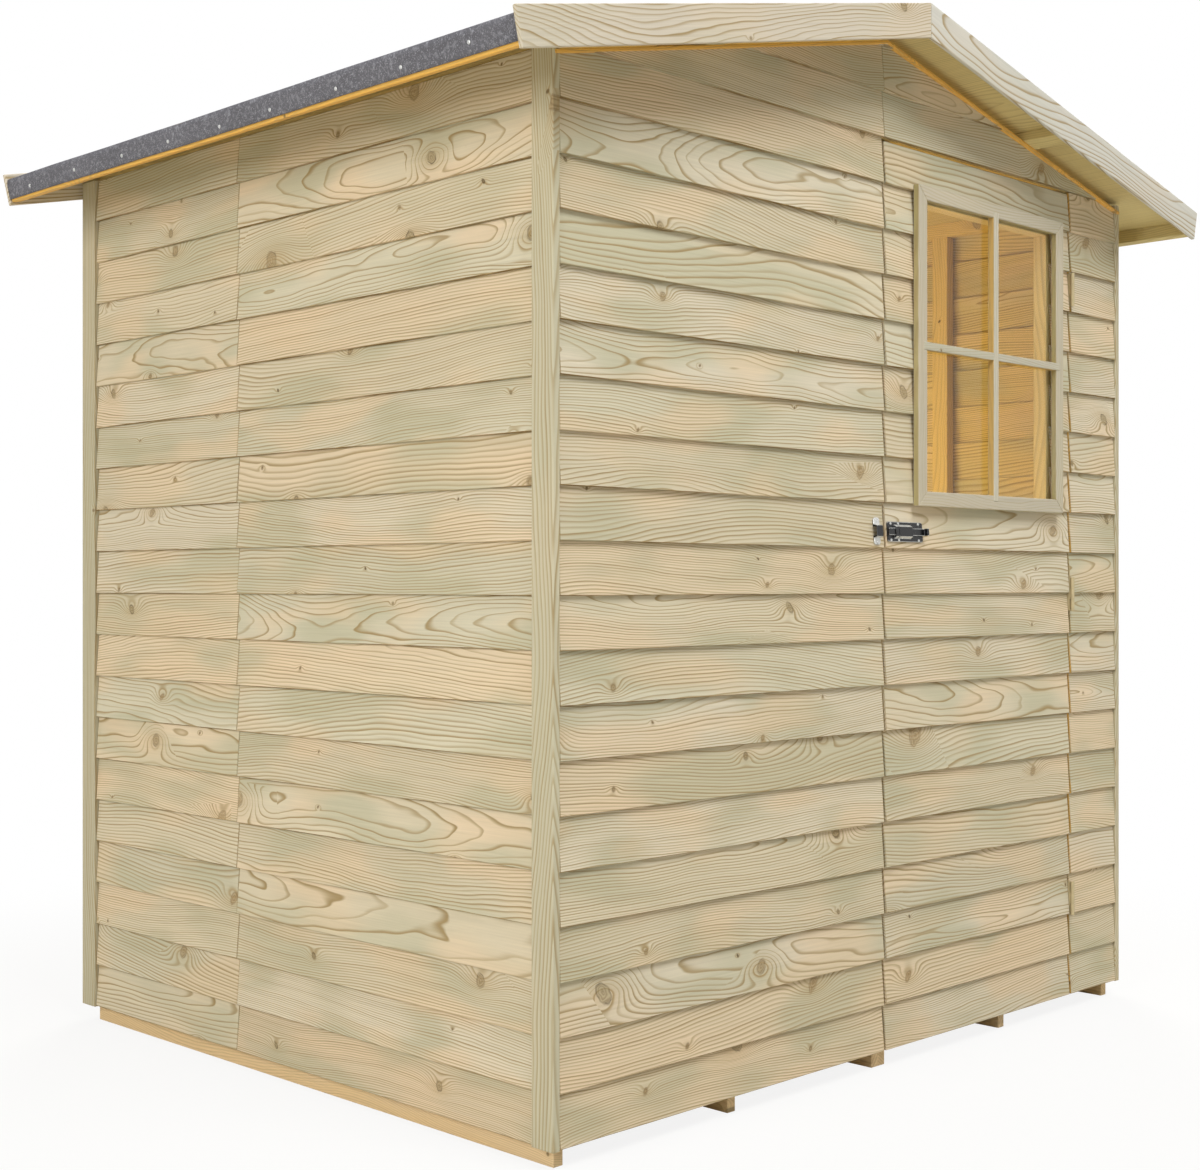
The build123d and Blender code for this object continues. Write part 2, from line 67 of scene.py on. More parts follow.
bl_info = {
    "name": "Garden Shed Dressing",
    "version": (1, 0, 0),
    "blender": (4, 5, 0),
    "location": "View3D > Sidebar > Shed",
    "description": "Dresses a garden shed with lapped boards, timbers, felt, glazing bars and fittings",
    "category": "Object",
}

node_slots = {part["node"]: part["material_slot"] for part in frame["record"]["subparts"]}
up = Vector((0, 0, 1))
merge_distance = 1e-5
cut_tolerance = 1e-6
sharp_angle = 0.5
flat_angle = math.radians(1)
finishes = {}


def linear(share):
    """Linear value of a display value."""
    return share / 12.92 if share <= 0.04045 else ((share + 0.055) / 1.055) ** 2.4


def srgb(*levels):
    """Linear colour of a display colour written from 0 to 255."""
    return tuple(linear(level / 255) for level in levels)


def number(name, description, default, **settings):
    """A number, with the unit or subtype that the settings give."""
    return FloatProperty(name=name, description=description, default=default, **settings)


def length(name, description, default):
    """A size in metres."""
    return number(name, description, default, unit="LENGTH", precision=4)


def colour(name, description, default):
    """A surface colour."""
    return FloatVectorProperty(name=name, description=description, default=default, subtype="COLOR", size=3)


def spot(name, description, default):
    """A place in metres."""
    settings = {"subtype": "TRANSLATION", "unit": "LENGTH"}
    return FloatVectorProperty(name=name, description=description, default=default, **settings)


class ShedBoards(PropertyGroup):
    """Sizes of the lapped boards and of the timbers' edges."""

    course_pitch: length("Course pitch", "Height of each board that shows", 0.0905)
    lap_step: length("Lap step", "How far each board's foot stands out over the board below", 0.007)
    thickness: length("Board thickness", "Thickness of a lapped board", 0.0062)
    overlap: length("Overlap", "How far each board runs up behind the next", 0.01)
    joint_gap: length("Joint gap", "Gap between two boards that meet end to end", 0.0007)
    edge_round: length("Board rounding", "Rounding of a lapped board's edges", 0.0013)
    timber_round: length("Timber rounding", "Rounding of the frame timbers' edges", 0.0014)
    trim_round: length("Trim rounding", "Rounding of the trim's edges", 0.0018)
    warp: length("Warp", "How far a board wanders from its straight line", 0.0006)
    warp_step: length("Warp step", "Distance between the points at which a board bends", 0.11)
    bead_height: length("Bead height", "Height of the bead under the roof of the front gable", 0.006)
    bead_depth: length("Bead depth", "Depth of that bead, from front to back", 0.012)
    bead_proud: length("Bead proud", "How far that bead stands out over the boards", 0.004)
    floor_board_width: length("Floor board width", "Width of a floor board", 0.112)
    left_joint: length("Left wall joint", "Distance of the left wall's joint from the front", 0.912)
    right_joint: length("Right wall joint", "Distance of the right wall's joint from the front", 0.469)
    pane_gap: length("Pane gap", "Gap between the pane and the door's boards", 0.001)
    roof_pitch: number("Roof pitch", "Slope of the roof", math.radians(12.86), subtype="ANGLE")


class ShedFittings(PropertyGroup):
    """Sizes of the felt, the nails, the glazing bars and the bolt's screws."""

    felt_thickness: length("Felt thickness", "Thickness of one sheet of felt", 0.0026)
    felt_turn_down: length("Felt turn-down", "Depth of the felt that is nailed over the eave", 0.042)
    felt_bend: length("Felt bend", "Radius of the felt's bend over the eave", 0.009)
    ridge_cap_width: length("Ridge cap", "Width on each slope of the strip along the ridge", 0.16)
    nail_radius: length("Nail radius", "Radius of a felt nail's head", 0.0038)
    nail_rise: length("Nail rise", "How far a felt nail's head stands out", 0.0016)
    eave_nails: IntProperty(name="Eave nails", description="Felt nails along each eave", default=9)
    bar_width: length("Glazing bar width", "Width of the upright glazing bar", 0.0182)
    rail_height: length("Glazing rail height", "Height of the level glazing bar", 0.016)
    bar_housing: length("Bar housing", "How far the bars are let into the casing", 0.012)
    bar_proud: length("Bar proud", "How far the bars stand out over the casing", 0.0012)
    bar_offset: length("Bar offset", "How far right of the middle the upright bar stands", 0.004)
    screw_radius: length("Screw radius", "Radius of a screw's head", 0.0029)
    screw_rise: length("Screw rise", "How far a screw's head stands out", 0.0013)
    plate_inset: length("Plate inset", "Distance of the screws from the bolt plate's long edges", 0.0037)
    keeper_inset: length("Keeper inset", "Distance of the screws from the keeper's ends", 0.006)
    plate_thickness: length("Plate thickness", "Thickness of the bolt's plate", 0.0033)
    plate_screws: FloatVectorProperty(
        name="Plate screws",
        description="Shares of the bolt plate's length at which it is screwed down",
        default=(0.085, 0.3, 0.87),
    )
    steel_round: length("Steel rounding", "Rounding of the steel fittings' edges", 0.0009)


class ShedColours(PropertyGroup):
    """Colours of the timber, the felt and the fittings."""

    cream: colour("Cream board", "Palest of the treated boards", srgb(211, 200, 176))
    straw: colour("Straw board", "Common tint of the treated boards", srgb(207, 195, 168))
    blush: colour("Blush board", "Warmest of the treated boards", srgb(214, 196, 166))
    peach: colour("Peach", "Warm patches that took little preservative", srgb(221, 197, 164))
    sage: colour("Sage board", "Boards that took much preservative", srgb(202, 194, 169))
    green: colour("Preservative", "Green patches left by the preservative", srgb(182, 178, 150))
    latewood: colour("Latewood", "Dark line of each growth ring", srgb(156, 134, 92))
    knot: colour("Knot", "Body of a large knot", srgb(172, 143, 97))
    moss: colour("Grey knot", "Body of a large knot that took much preservative", srgb(150, 140, 104))
    heart: colour("Small knot", "Body of a small knot", srgb(110, 87, 53))
    bark: colour("Knot edge", "Dark edge of a knot", srgb(76, 58, 35))
    inside: colour("Inside", "Backs of the boards, which took no preservative", srgb(214, 193, 138))
    edge: colour("Sawn edge", "Dark edges of the boards", srgb(122, 98, 58))
    strip: colour("Strip", "Corner strips", srgb(188, 181, 155))
    trim: colour("Barge", "Barge boards on the left slopes", srgb(205, 194, 175))
    pale: colour("Pale barge", "Barge boards on the right slopes", srgb(204, 200, 189))
    casing: colour("Casing", "Window casing", srgb(185, 176, 156))
    bar: colour("Glazing bar", "Glazing bars", srgb(191, 185, 167))
    bar_side: colour("Bar side", "Sides of the glazing bars", srgb(206, 172, 104))
    casing_side: colour("Casing side", "Sides of the window casing", srgb(170, 158, 112))
    honey: colour("Frame", "Frame timbers", srgb(217, 192, 130))
    deck: colour("Deck", "Roof boards, seen from below", srgb(203, 185, 128))
    # Warm orange: on the left eave batten and the front gable's beads it is a painted glow of light bounced
    # under the roof; at the door it is raw end grain
    glow_and_end_grain: colour("Amber", "Resinous timber by an eave, the front gable and the door", srgb(224, 173, 84))
    fresh: colour("Floor", "Floor and bearers", srgb(228, 198, 150))
    felt: colour("Felt", "Mineral felt", srgb(97, 96, 101))
    # Darker than sawn wood, to paint the shadow under each board's lap
    felt_grit: colour("Felt grit", "Pale grains of the felt", srgb(160, 160, 167))
    steel: colour("Black steel", "Japanned steel of the bolt", srgb(15, 15, 16))
    # The zinc tone also paints the highlights on the black steel's rims, sloping sides and keeper's foot
    zinc: colour("Zinc", "Screws, nails and worn steel", srgb(206, 206, 202))
    passivate: colour("Hinge plating", "Dull yellow plating of the hinges", srgb(186, 170, 132))


class ShedStage(PropertyGroup):
    """Floor, lamps and camera."""

    camera_place: spot("Camera", "Where the camera stands", (-2.9486, -2.8428, 0.958))
    camera_turn: number("Camera turn", "Turn of the level camera to the right", 0.7876297, subtype="ANGLE")
    lens: number("Lens", "Focal length in millimetres", 54.378)
    floor_size: length("Floor size", "Width of the floor", 60.0)
    floor_colour: colour("Floor colour", "Colour of the floor", (0.72, 0.7, 0.64))
    sky: number("Sky", "Strength of the light from overhead", 0.42)
    ambient: colour("Ambient", "Tint of the light from the surroundings", (1.0, 0.965, 0.88))
    horizon: number("Horizon", "Strength of the light from the horizon", 0.16)
    left: number("Left lamp", "Power of the lamp on the left", 258.0)
    front: number("Front lamp", "Power of the lamp in front", 526.0)
    front_colour: colour("Front colour", "Colour of the lamp in front", (0.92, 0.953, 1.0))
    lamp_size: length("Lamp size", "Width of the outer lamps", 3.6)
    fill: number("Fill lamp", "Power of the lamp behind the shed", 470.0)
    inside: number("Inside lamp", "Power of the lamp inside the shed", 24.5)
    inside_colour: colour("Inside colour", "Colour of the light inside", srgb(255, 234, 164))
    inside_place: spot("Inside place", "Where the lamp inside the shed hangs", (0.0, 0.1, 1.05))
    inside_radius: length("Inside radius", "Radius of the lamp inside the shed", 0.3)


class Value:
    """A shader socket; arithmetic on it adds Math nodes."""

    def __init__(self, shader, socket):
        self.shader = shader
        self.socket = socket

    def __add__(self, other):
        return self.shader.math("ADD", self, other)

    def __sub__(self, other):
        return self.shader.math("SUBTRACT", self, other)

    def __rsub__(self, other):
        return self.shader.math("SUBTRACT", other, self)

    def __mul__(self, other):
        return self.shader.math("MULTIPLY", self, other)

    def __truediv__(self, other):
        return self.shader.math("DIVIDE", self, other)

    def __rtruediv__(self, other):
        return self.shader.math("DIVIDE", other, self)

    __radd__ = __add__
    __rmul__ = __mul__


class Shader:
    """Node tree of one material, or of the world."""

    def __init__(self, name, owner=None):
        self.material = owner or bpy.data.materials.new(name)
        self.material.use_nodes = True
        self.tree = self.material.node_tree
        self.tree.nodes.clear()

    def node(self, kind, settings=None, sockets=None):
        """Add a node, apply its settings, then fill its sockets; returns its outputs by name."""
        added = self.tree.nodes.new(kind)
        for key, value in (settings or {}).items():
            setattr(added, key, value)
        for key, value in (sockets or {}).items():
            socket = self.find(added.inputs, key)
            if isinstance(value, Value):
                self.tree.links.new(value.socket, socket)
            else:
                size = len(socket.default_value) if hasattr(socket.default_value, "__len__") else 1
                short = size > 1 and len(value) < size
                socket.default_value = (*value, 1) if short else value
        return {socket.identifier: Value(self, socket) for socket in added.outputs}

    @staticmethod
    def find(sockets, key):
        """A socket by its place, its identifier or its name."""
        if isinstance(key, int):
            return sockets[key]
        matches = [socket for socket in sockets if socket.identifier == key]
        return matches[0] if matches else sockets[key]

    def math(self, operation, *values, clamp=False):
        settings = {"operation": operation, "use_clamp": clamp}
        return self.node("ShaderNodeMath", settings, dict(enumerate(values)))["Value"]

    def clamp(self, value):
        """The value held between 0 and 1."""
        return self.math("ADD", value, 0, clamp=True)

    def ramp(self, value, low, high):
        """0 below low and 1 above high, with a smooth rise between them."""
        sockets = {"Value": value, "From Min": low, "From Max": high}
        return self.node("ShaderNodeMapRange", {"interpolation_type": "SMOOTHSTEP"}, sockets)["Result"]

    def mix(self, factor, first, second, blend="MIX"):
        """Mix of two colours."""
        settings = {"data_type": "RGBA", "blend_type": blend}
        sockets = {"Factor_Float": factor, "A_Color": first, "B_Color": second}
        return self.node("ShaderNodeMix", settings, sockets)["Result_Color"]

    def dim(self, shade, light):
        """A colour times a number."""
        return self.mix(1.0, shade, self.join(light, light, light), blend="MULTIPLY")

    def attribute(self, name, output):
        """A value that the piece's mesh carries."""
        return self.node("ShaderNodeAttribute", {"attribute_name": name})[output]

    def vectors(self, operation, first, second):
        """A vector from two others."""
        return self.node("ShaderNodeVectorMath", {"operation": operation}, {0: first, 1: second})["Vector"]

    def split(self, vector):
        """The three numbers of a vector."""
        parts = self.node("ShaderNodeSeparateXYZ", {}, {"Vector": vector})
        return parts["X"], parts["Y"], parts["Z"]

    def join(self, x, y, z):
        """A vector from three numbers."""
        return self.node("ShaderNodeCombineXYZ", {}, {"X": x, "Y": y, "Z": z})["Vector"]

    def noise(self, vector, scale=1.0, detail=2.0, output="Fac", dimensions="3D"):
        """Cloudy noise, as a number or as three numbers in a colour."""
        sockets = {"Vector": vector, "Scale": scale, "Detail": detail}
        return self.node("ShaderNodeTexNoise", {"noise_dimensions": dimensions}, sockets)[output]

    def surface(self, sockets, height=None, bump=0.0, depth=0.001):
        """Principled surface, with a bump where a height is given."""
        if height is not None:
            relief = {"Strength": bump, "Distance": depth, "Height": height}
            sockets = {**sockets, "Normal": self.node("ShaderNodeBump", {}, relief)["Normal"]}
        shown = self.node("ShaderNodeBsdfPrincipled", {}, sockets)["BSDF"]
        self.node("ShaderNodeOutputMaterial", {}, {"Surface": shown})
        return self.material


class Softwood(Shader):
    """Node tree of softwood, which reads the grain attribute of its boards."""

    def __init__(self, name):
        super().__init__(name)
        self.grain = self.attribute("grain", "Vector")
        self.along, self.across, self.depth = self.split(self.grain)

    def cloud(self, along_scale, across_scale, detail=1.0, output="Fac"):
        """Noise on the board's face, stretched along the grain."""
        place = self.vectors("MULTIPLY", self.grain, (along_scale, across_scale, across_scale))
        return self.noise(place, detail=detail, output=output, dimensions="2D")

    def knots(self, share):
        """Knots in a share of the cells of a stretched pattern, one at most in each."""
        cell_length, cell_width = 0.21, 0.1
        smallest, growth = 0.0018, 0.012
        blur, rim = 0.003, 0.0021
        cells = self.join(self.along / cell_length, self.across / cell_width, 0.0)
        settings = {"voronoi_dimensions": "2D", "feature": "F1"}
        sockets = {"Vector": cells, "Scale": 1.0, "Randomness": 1.0}
        cell = self.node("ShaderNodeTexVoronoi", settings, sockets)
        apart_along, apart_across, _ = self.split(self.vectors("SUBTRACT", cells, cell["Position"]))
        chance, size, kind = self.split(cell["Color"])
        present = self.math("GREATER_THAN", share, chance)
        radius = present * (smallest + size * size * size * growth)
        wobble = self.cloud(70.0, 70.0)
        from_along = apart_along * cell_length
        from_across = apart_across * cell_width
        lean = from_along + from_across * (kind - 0.5)
        spread = self.math("SQRT", lean * lean * 1.3 + from_across * from_across) * (0.5 + wobble)
        pull = self.math("SQRT", from_along * from_along * 0.3 + from_across * from_across) / (radius * 2.2)
        halo = present * self.math("EXPONENT", 0 - pull * pull)
        knot = SimpleNamespace(size=size, kind=kind, wobble=wobble, spread=spread, halo=halo)
        knot.swell = halo * radius * 2.6
        knot.body = present * self.clamp((radius - spread) / blur + 0.5)
        knot.edge = present * self.clamp(1 - self.math("ABSOLUTE", spread - radius) / rim)
        return knot

    def latewood(self, spacing, swell):
        """Dark lines of the growth rings, round a pith that wanders along the board."""
        wander_across, wander_depth = 0.1, 0.08
        flutter_reach, ripple_reach = 0.0048, 0.014
        sway_across, sway_depth, ripple = self.split(self.cloud(1.4, 3.0, output="Color"))
        flutter = self.cloud(9.0, 34.0)
        across = self.across + (sway_across - 0.5) * wander_across
        depth = self.depth + (sway_depth - 0.5) * wander_depth
        ring = self.math("SQRT", across * across + depth * depth)
        steep = self.math("ABSOLUTE", across) / ring
        ring = ring + swell + (flutter - 0.5) * flutter_reach + (ripple - 0.5) * ripple_reach
        count = ring / spacing
        phase = self.math("FRACT", count)
        share = 0.15 + steep * 0.4
        crest = 1 - share * 0.3
        rise = self.ramp(phase, 1 - share * 1.35, crest)
        late = rise * (1 - self.ramp(phase, crest, 1.0)) + phase * 0.12
        which = self.math("FLOOR", count)
        tone = self.node("ShaderNodeTexWhiteNoise", {"noise_dimensions": "1D"}, {"W": which})["Value"]
        return late * (0.45 + tone * 0.55)


def pine(name, colours, spacing=0.0043, line=0.95, green=0.72, knots=0.6, warmth=0.66):
    """Softwood with growth rings at a spacing, knots that bend them, and patches of preservative."""
    wood = Softwood(name)
    tint = wood.attribute("tint", "Color")
    knot = wood.knots(knots)
    late = wood.latewood(spacing, knot.swell)
    fibre = wood.cloud(6.0, 330.0, detail=2.0)
    relief = wood.cloud(9.0, 420.0, detail=0.0)
    patch = wood.cloud(3.6, 10.0)
    blush = wood.cloud(3.9, 11.7)
    shade = wood.mix(wood.ramp(patch, 0.42, 0.68) * green, tint, colours.green)
    shade = wood.mix(wood.ramp(blush, 0.46, 0.72) * warmth, shade, colours.peach)
    shade = wood.mix(late * line, shade, colours.latewood)
    shade = wood.mix(knot.halo * knot.halo * 0.4, shade, colours.knot)
    rings = wood.math("SINE", knot.spread * 1500.0 + knot.wobble * 9.0) * 0.5 + 0.5
    heart = wood.mix(knot.kind, colours.knot, colours.moss)
    heart = wood.mix(wood.clamp(1.05 - knot.size * 1.1), heart, colours.heart)
    shade = wood.mix(knot.body * (0.9 - knot.size * 0.5), shade, heart)
    shade = wood.mix(knot.body * rings * 0.45, shade, colours.heart)
    rim = knot.edge * (0.25 + knot.kind * 0.6) * wood.ramp(knot.wobble, 0.3, 0.6)
    shade = wood.mix(rim, shade, colours.bark)
    shade = wood.dim(shade, 0.9 + fibre * 0.2)
    sockets = {"Base Color": shade, "Roughness": 0.62 + fibre * 0.25, "Specular IOR Level": 0.25}
    return wood.surface(sockets, relief, bump=0.3, depth=0.0007)


def mineral_felt(colours):
    """Bitumen felt under a face of mineral grit, with dark blotches."""
    shader = Shader("mineral_felt")
    place = shader.node("ShaderNodeTexCoord")["Object"]
    grit = shader.noise(place, scale=420.0, detail=2.0)
    clump = shader.noise(place, scale=120.0, detail=2.0)
    blotch = shader.noise(place, scale=9.0, detail=3.0)
    shade = shader.mix(shader.ramp(grit, 0.52, 0.72) * 0.75, colours.felt, colours.felt_grit)
    shade = shader.mix(shader.ramp(clump, 0.5, 0.7) * 0.35, shade, colours.felt_grit)
    shade = shader.dim(shade, 0.78 + blotch * 0.36)
    sockets = {"Base Color": shade, "Roughness": 0.8 + grit * 0.15, "Specular IOR Level": 0.25}
    return shader.surface(sockets, grit + clump, bump=0.5, depth=0.0012)


def coated_steel(name, tone, metallic, roughness, highlight_metal):
    """Steel with small uneven patches in its shine, and uncoated metal in patches where its mesh marks a
    painted highlight.
    """
    shader = Shader(name)
    place = shader.node("ShaderNodeTexCoord")["Object"]
    cloud = shader.noise(place, scale=70.0, detail=3.0)
    scuff = shader.noise(place, scale=900.0, detail=1.0)
    # Painted highlight: pale metal on the marked rims and slopes, broken into patches
    highlighted = shader.attribute("painted_highlight", "Fac") * shader.ramp(cloud, 0.1, 0.42)
    shade = shader.dim(shader.mix(highlighted, tone, highlight_metal), 0.85 + cloud * 0.3)
    shine = metallic + highlighted * ((1 - metallic) * 0.3)
    sockets = {"Base Color": shade, "Metallic": shine, "Roughness": roughness + cloud * 0.12}
    return shader.surface(sockets, scuff, bump=0.06, depth=0.0003)


def clear_pane():
    """Clear glass with faint smears."""
    shader = Shader("clear_pane")
    place = shader.node("ShaderNodeTexCoord")["Object"]
    smear = shader.ramp(shader.noise(place, scale=5.0, detail=3.0), 0.5, 0.8)
    tone = (0.98, 0.99, 0.985)
    sockets = {"Base Color": tone, "Roughness": smear * 0.02, "IOR": 1.22, "Transmission Weight": 1.0}
    return shader.surface(sockets)


def make_finishes(colours):
    """Every finish of the shed, by name."""
    finishes.update(
        board=pine("treated_board", colours),
        trim=pine("planed_trim", colours, line=0.9, green=0.3, knots=0.3, warmth=0.12),
        barge=pine("planed_barge", colours, spacing=0.0046, line=1.0, green=0.2, knots=0.4, warmth=0.2),
        casing=pine("planed_casing", colours, spacing=0.004, line=0.4, green=0.3, knots=0.15, warmth=0.1),
        frame=pine("sawn_frame", colours, line=0.5, green=0.0, knots=0.35, warmth=0.0),
        floor=pine("sawn_floor", colours, line=0.4, green=0.0, knots=0.4, warmth=0.3),
        felt=mineral_felt(colours),
        steel=coated_steel("japanned_steel", colours.steel, 0.15, 0.2, colours.zinc),
        zinc=coated_steel("zinc_plate", colours.zinc, 1.0, 0.22, colours.zinc),
        hinge=coated_steel("passivated_steel", colours.passivate, 0.2, 0.6, colours.passivate),
        glass=clear_pane(),
    )


def finish_piece(name, shape, finish, nodes=(), body=None, slot=None, smooth=False):
    """Turn a finished bmesh into a piece that rides on its body and stands for its nodes."""
    mesh = bpy.data.meshes.new(name)
    shape.to_mesh(mesh)
    shape.free()
    if "custom_normal" in mesh.attributes:
        mesh.attributes.remove(mesh.attributes["custom_normal"])
    mesh.polygons.foreach_set("use_smooth", [smooth] * len(mesh.polygons))
    mesh.materials.clear()
    mesh.materials.append(finishes[finish])
    piece = bpy.data.objects.new(name, mesh)
    bpy.context.scene.collection.objects.link(piece)
    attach(piece, body or frame["nodes"][nodes[0]]["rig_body"])
    slot or node_slots[nodes[0]]
    if nodes:
        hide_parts(*nodes)
    return piece


def cut_off(shape, point, normal):
    """Remove what lies beyond a plane and close the cut."""
    geometry = shape.verts[:] + shape.edges[:] + shape.faces[:]
    plane = {"plane_co": point, "plane_no": normal}
    cut = bmesh.ops.bisect_plane(shape, geom=geometry, dist=cut_tolerance, clear_outer=True, **plane)
    rim = [part for part in cut["geom_cut"] if isinstance(part, bmesh.types.BMEdge)]
    bmesh.ops.holes_fill(shape, edges=rim)


def bevel_edges(shape, edges, width):
    """Round some edges; returns the rounded strips' faces."""
    settings = {"affect": "EDGES", "offset_type": "OFFSET", "segments": 2, "profile": 0.5, "material": -1}
    return bmesh.ops.bevel(shape, geom=edges, offset=width, clamp_overlap=True, **settings)["faces"]


def round_edges(shape, width):
    """Round every sharp edge; returns the rounded strips' faces."""
    paired = [edge for edge in shape.edges if len(edge.link_faces) == 2]
    return bevel_edges(shape, [edge for edge in paired if edge.calc_face_angle() > sharp_angle], width)


def join_shape(target, shape):
    """Move a finished bmesh into another one."""
    mesh = bpy.data.meshes.new("joined")
    shape.to_mesh(mesh)
    shape.free()
    target.from_mesh(mesh)
    bpy.data.meshes.remove(mesh)


def cad_copy(node):
    """Copy of a CAD node with its triangles merged into whole faces."""
    shape = bmesh.new()
    shape.from_mesh(frame["nodes"][node].data)
    bmesh.ops.remove_doubles(shape, verts=shape.verts, dist=merge_distance)
    bmesh.ops.dissolve_limit(shape, angle_limit=flat_angle, verts=shape.verts, edges=shape.edges)
    return shape


def solids_of(shape):
    """Each connected solid of a bmesh, as a bmesh of its own."""
    unseen = set(shape.verts)
    groups = []
    while unseen:
        group, front = set(), [min(unseen, key=lambda vert: vert.index)]
        while front:
            vert = front.pop()
            if vert not in group:
                group.add(vert)
                front.extend(edge.other_vert(vert) for edge in vert.link_edges)
        unseen -= group
        groups.append({vert.index for vert in group})
    for kept in groups:
        solid = shape.copy()
        others = [vert for vert in solid.verts if vert.index not in kept]
        bmesh.ops.delete(solid, geom=others, context="VERTS")
        yield solid


def grain_place(shape):
    """Axes of a timber: along its longest edge, then across its widest face."""
    edges = sorted(shape.edges, key=lambda edge: -edge.calc_length())
    along = (edges[0].verts[1].co - edges[0].verts[0].co).normalized()
    if along[max(range(3), key=lambda axis: abs(along[axis]))] < 0:
        along = -along
    for edge in edges:
        side = edge.verts[1].co - edge.verts[0].co
        side = side - side.dot(along) * along
        if side.length > 0.5 * edge.calc_length():
            break
    across = side.normalized()
    middle = sum((vert.co for vert in shape.verts), Vector()) / len(shape.verts)
    return place_of(along, across, middle)


def place_of(along, across, origin):
    """Matrix that puts a board's own axes into the frame."""
    axes = zip(along, across, along.cross(across), origin)
    return Matrix([*axes, (0, 0, 0, 1)])


class Timber:
    """A piece made of boards, each with its own place in the log and its own tint."""

    # How nearly a face looks along one of the board's axes when it counts as an end or a back
    square = 0.8
    # Without a seed, Blender's vector noise starts from the clock and each run would bend the boards anew
    warp_seed = 1
    warp_scale = 6.0
    # Least and most of a board's place in the log, of its grain's fineness and of its lightness
    log_limits = ((5, 80), (0.02, 0.15), (0.025, 0.08))
    fineness_limits = (0.62, 1.05)
    lightness_limits = (0.95, 1.04)

    def __init__(self, name, tints, back=None, edge=None, edge_limit=0.95, cut_end=None):
        self.name = name
        self.tints = tints
        self.back = back
        self.edge = edge
        self.edge_limit = edge_limit
        self.cut_end = cut_end
        self.shape = bmesh.new()

    def add(self, board, place, key, warp=0.0):
        """Join one finished board to the piece; boards with the same key are cut from one plank."""
        rng = random.Random(f"{self.name} {key}")
        side = rng.choice((-1, 1))
        along, across, depth = (rng.uniform(*limits) for limits in self.log_limits)
        start = Vector((along, side * across, depth))
        fineness = rng.uniform(*self.fineness_limits)
        tint = Vector(rng.choice(self.tints)) * rng.uniform(*self.lightness_limits)
        grain_layer = board.verts.layers.float_vector.new("grain")
        tint_layer = board.faces.layers.float_color.new("tint")
        home = place.inverted()
        turn = home.to_3x3()
        board.normal_update()
        for face in board.faces:
            end, _, facing = turn @ face.normal
            shade = tint
            if self.cut_end and abs(end) > self.square:
                shade = Vector(self.cut_end)
            elif self.back and facing < -self.square:
                shade = Vector(self.back)
            # Long edges and their rounding take the edge colour; on lapped boards this is a painted shadow
            # under the lap
            elif self.edge and abs(facing) < self.edge_limit and abs(end) < self.square:
                shade = Vector(self.edge)
            face[tint_layer] = (*shade, 1)
        noise.seed_set(self.warp_seed)
        for vert in board.verts:
            vert[grain_layer] = home @ vert.co * fineness + start
            vert.co += noise.noise_vector(vert.co * self.warp_scale + start) * warp
        join_shape(self.shape, board)

    def finish(self, finish, nodes=(), **settings):
        """Make the piece."""
        return finish_piece(self.name, self.shape, finish, nodes, **settings)


def plank(boards, size, place, rounding, cuts=()):
    """Board that reaches from its own corner along, across and back, cut by planes, with rounded edges."""
    board = bmesh.new()
    bmesh.ops.create_cube(board, size=1)
    bmesh.ops.translate(board, vec=(0.5, 0.5, -0.5), verts=board.verts)
    bmesh.ops.scale(board, vec=size, verts=board.verts)
    bends = int(size[0] / boards.warp_step)
    if bends:
        long_edges = [
            edge for edge in board.edges if abs(edge.verts[0].co.x - edge.verts[1].co.x) > cut_tolerance
        ]
        bmesh.ops.subdivide_edges(board, edges=long_edges, cuts=bends, use_grid_fill=True)
    bmesh.ops.transform(board, matrix=place, verts=board.verts)
    for point, normal in cuts:
        cut_off(board, point, normal)
    if board.faces:
        round_edges(board, rounding)
    return board


def board_tilt(boards):
    """Angle at which each lapped board leans back."""
    return math.atan2(boards.lap_step, boards.course_pitch)


class Wall:
    """A plane of lapped boards, seen from outside: its foot, the way along it and the way out of it."""

    def __init__(self, boards, along, face, foot):
        self.boards = boards
        self.along = Vector(along)
        self.out = self.along.cross(up)
        self.face = face
        self.foot = foot
        tilt = board_tilt(boards)
        self.rise = up * math.cos(tilt) - self.out * math.sin(tilt)
        self.width = (boards.course_pitch + boards.overlap) / math.cos(tilt)

    def course(self, timber, index, start, end, cuts=(), key=None):
        """One board of a course, between two places along the wall."""
        gap = self.boards.joint_gap / 2
        low = self.foot + index * self.boards.course_pitch
        origin = self.along * (start + gap) + self.out * self.face + up * low
        place = place_of(self.along, self.rise, origin)
        size = (end - start - 2 * gap, self.width, self.boards.thickness)
        board = plank(self.boards, size, place, self.boards.edge_round, cuts)
        if board.faces:
            home = place_of(self.along, self.rise, self.out * self.face + up * low)
            timber.add(board, home, key or f"{index} {start:.3f}", self.boards.warp)

    def cover(self, node, colours, spans, top, cuts, first=0, cut_end=None):
        """Lay the courses of a CAD wall up to its top, each in one or more spans, as one piece."""
        timber = board_piece(f"{node}_boards", colours, cut_end)
        for index in courses_to(self.boards, self.foot, top)[first:]:
            for start, end in spans:
                self.course(timber, index, start, end, cuts)
        timber.finish("board", (node,))


def below(height):
    """Cut that keeps what lies below a height."""
    return Vector((0, 0, height)), up


def above(height):
    """Cut that keeps what lies above a height."""
    return Vector((0, 0, height)), -up


def gable_cuts(boards):
    """Cuts along the two slopes of the gables' top edges."""
    apex = Vector((0, 0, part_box("back_wall")[1].z))
    lean = math.sin(boards.roof_pitch), math.cos(boards.roof_pitch)
    return [(apex, Vector((side * lean[0], 0, lean[1]))) for side in (-1, 1)]


def courses_to(boards, foot, top):
    """Numbers of the courses from a wall's foot to its top."""
    rounding_slack = 1e-3
    return range(math.ceil((top - foot) / boards.course_pitch - rounding_slack))


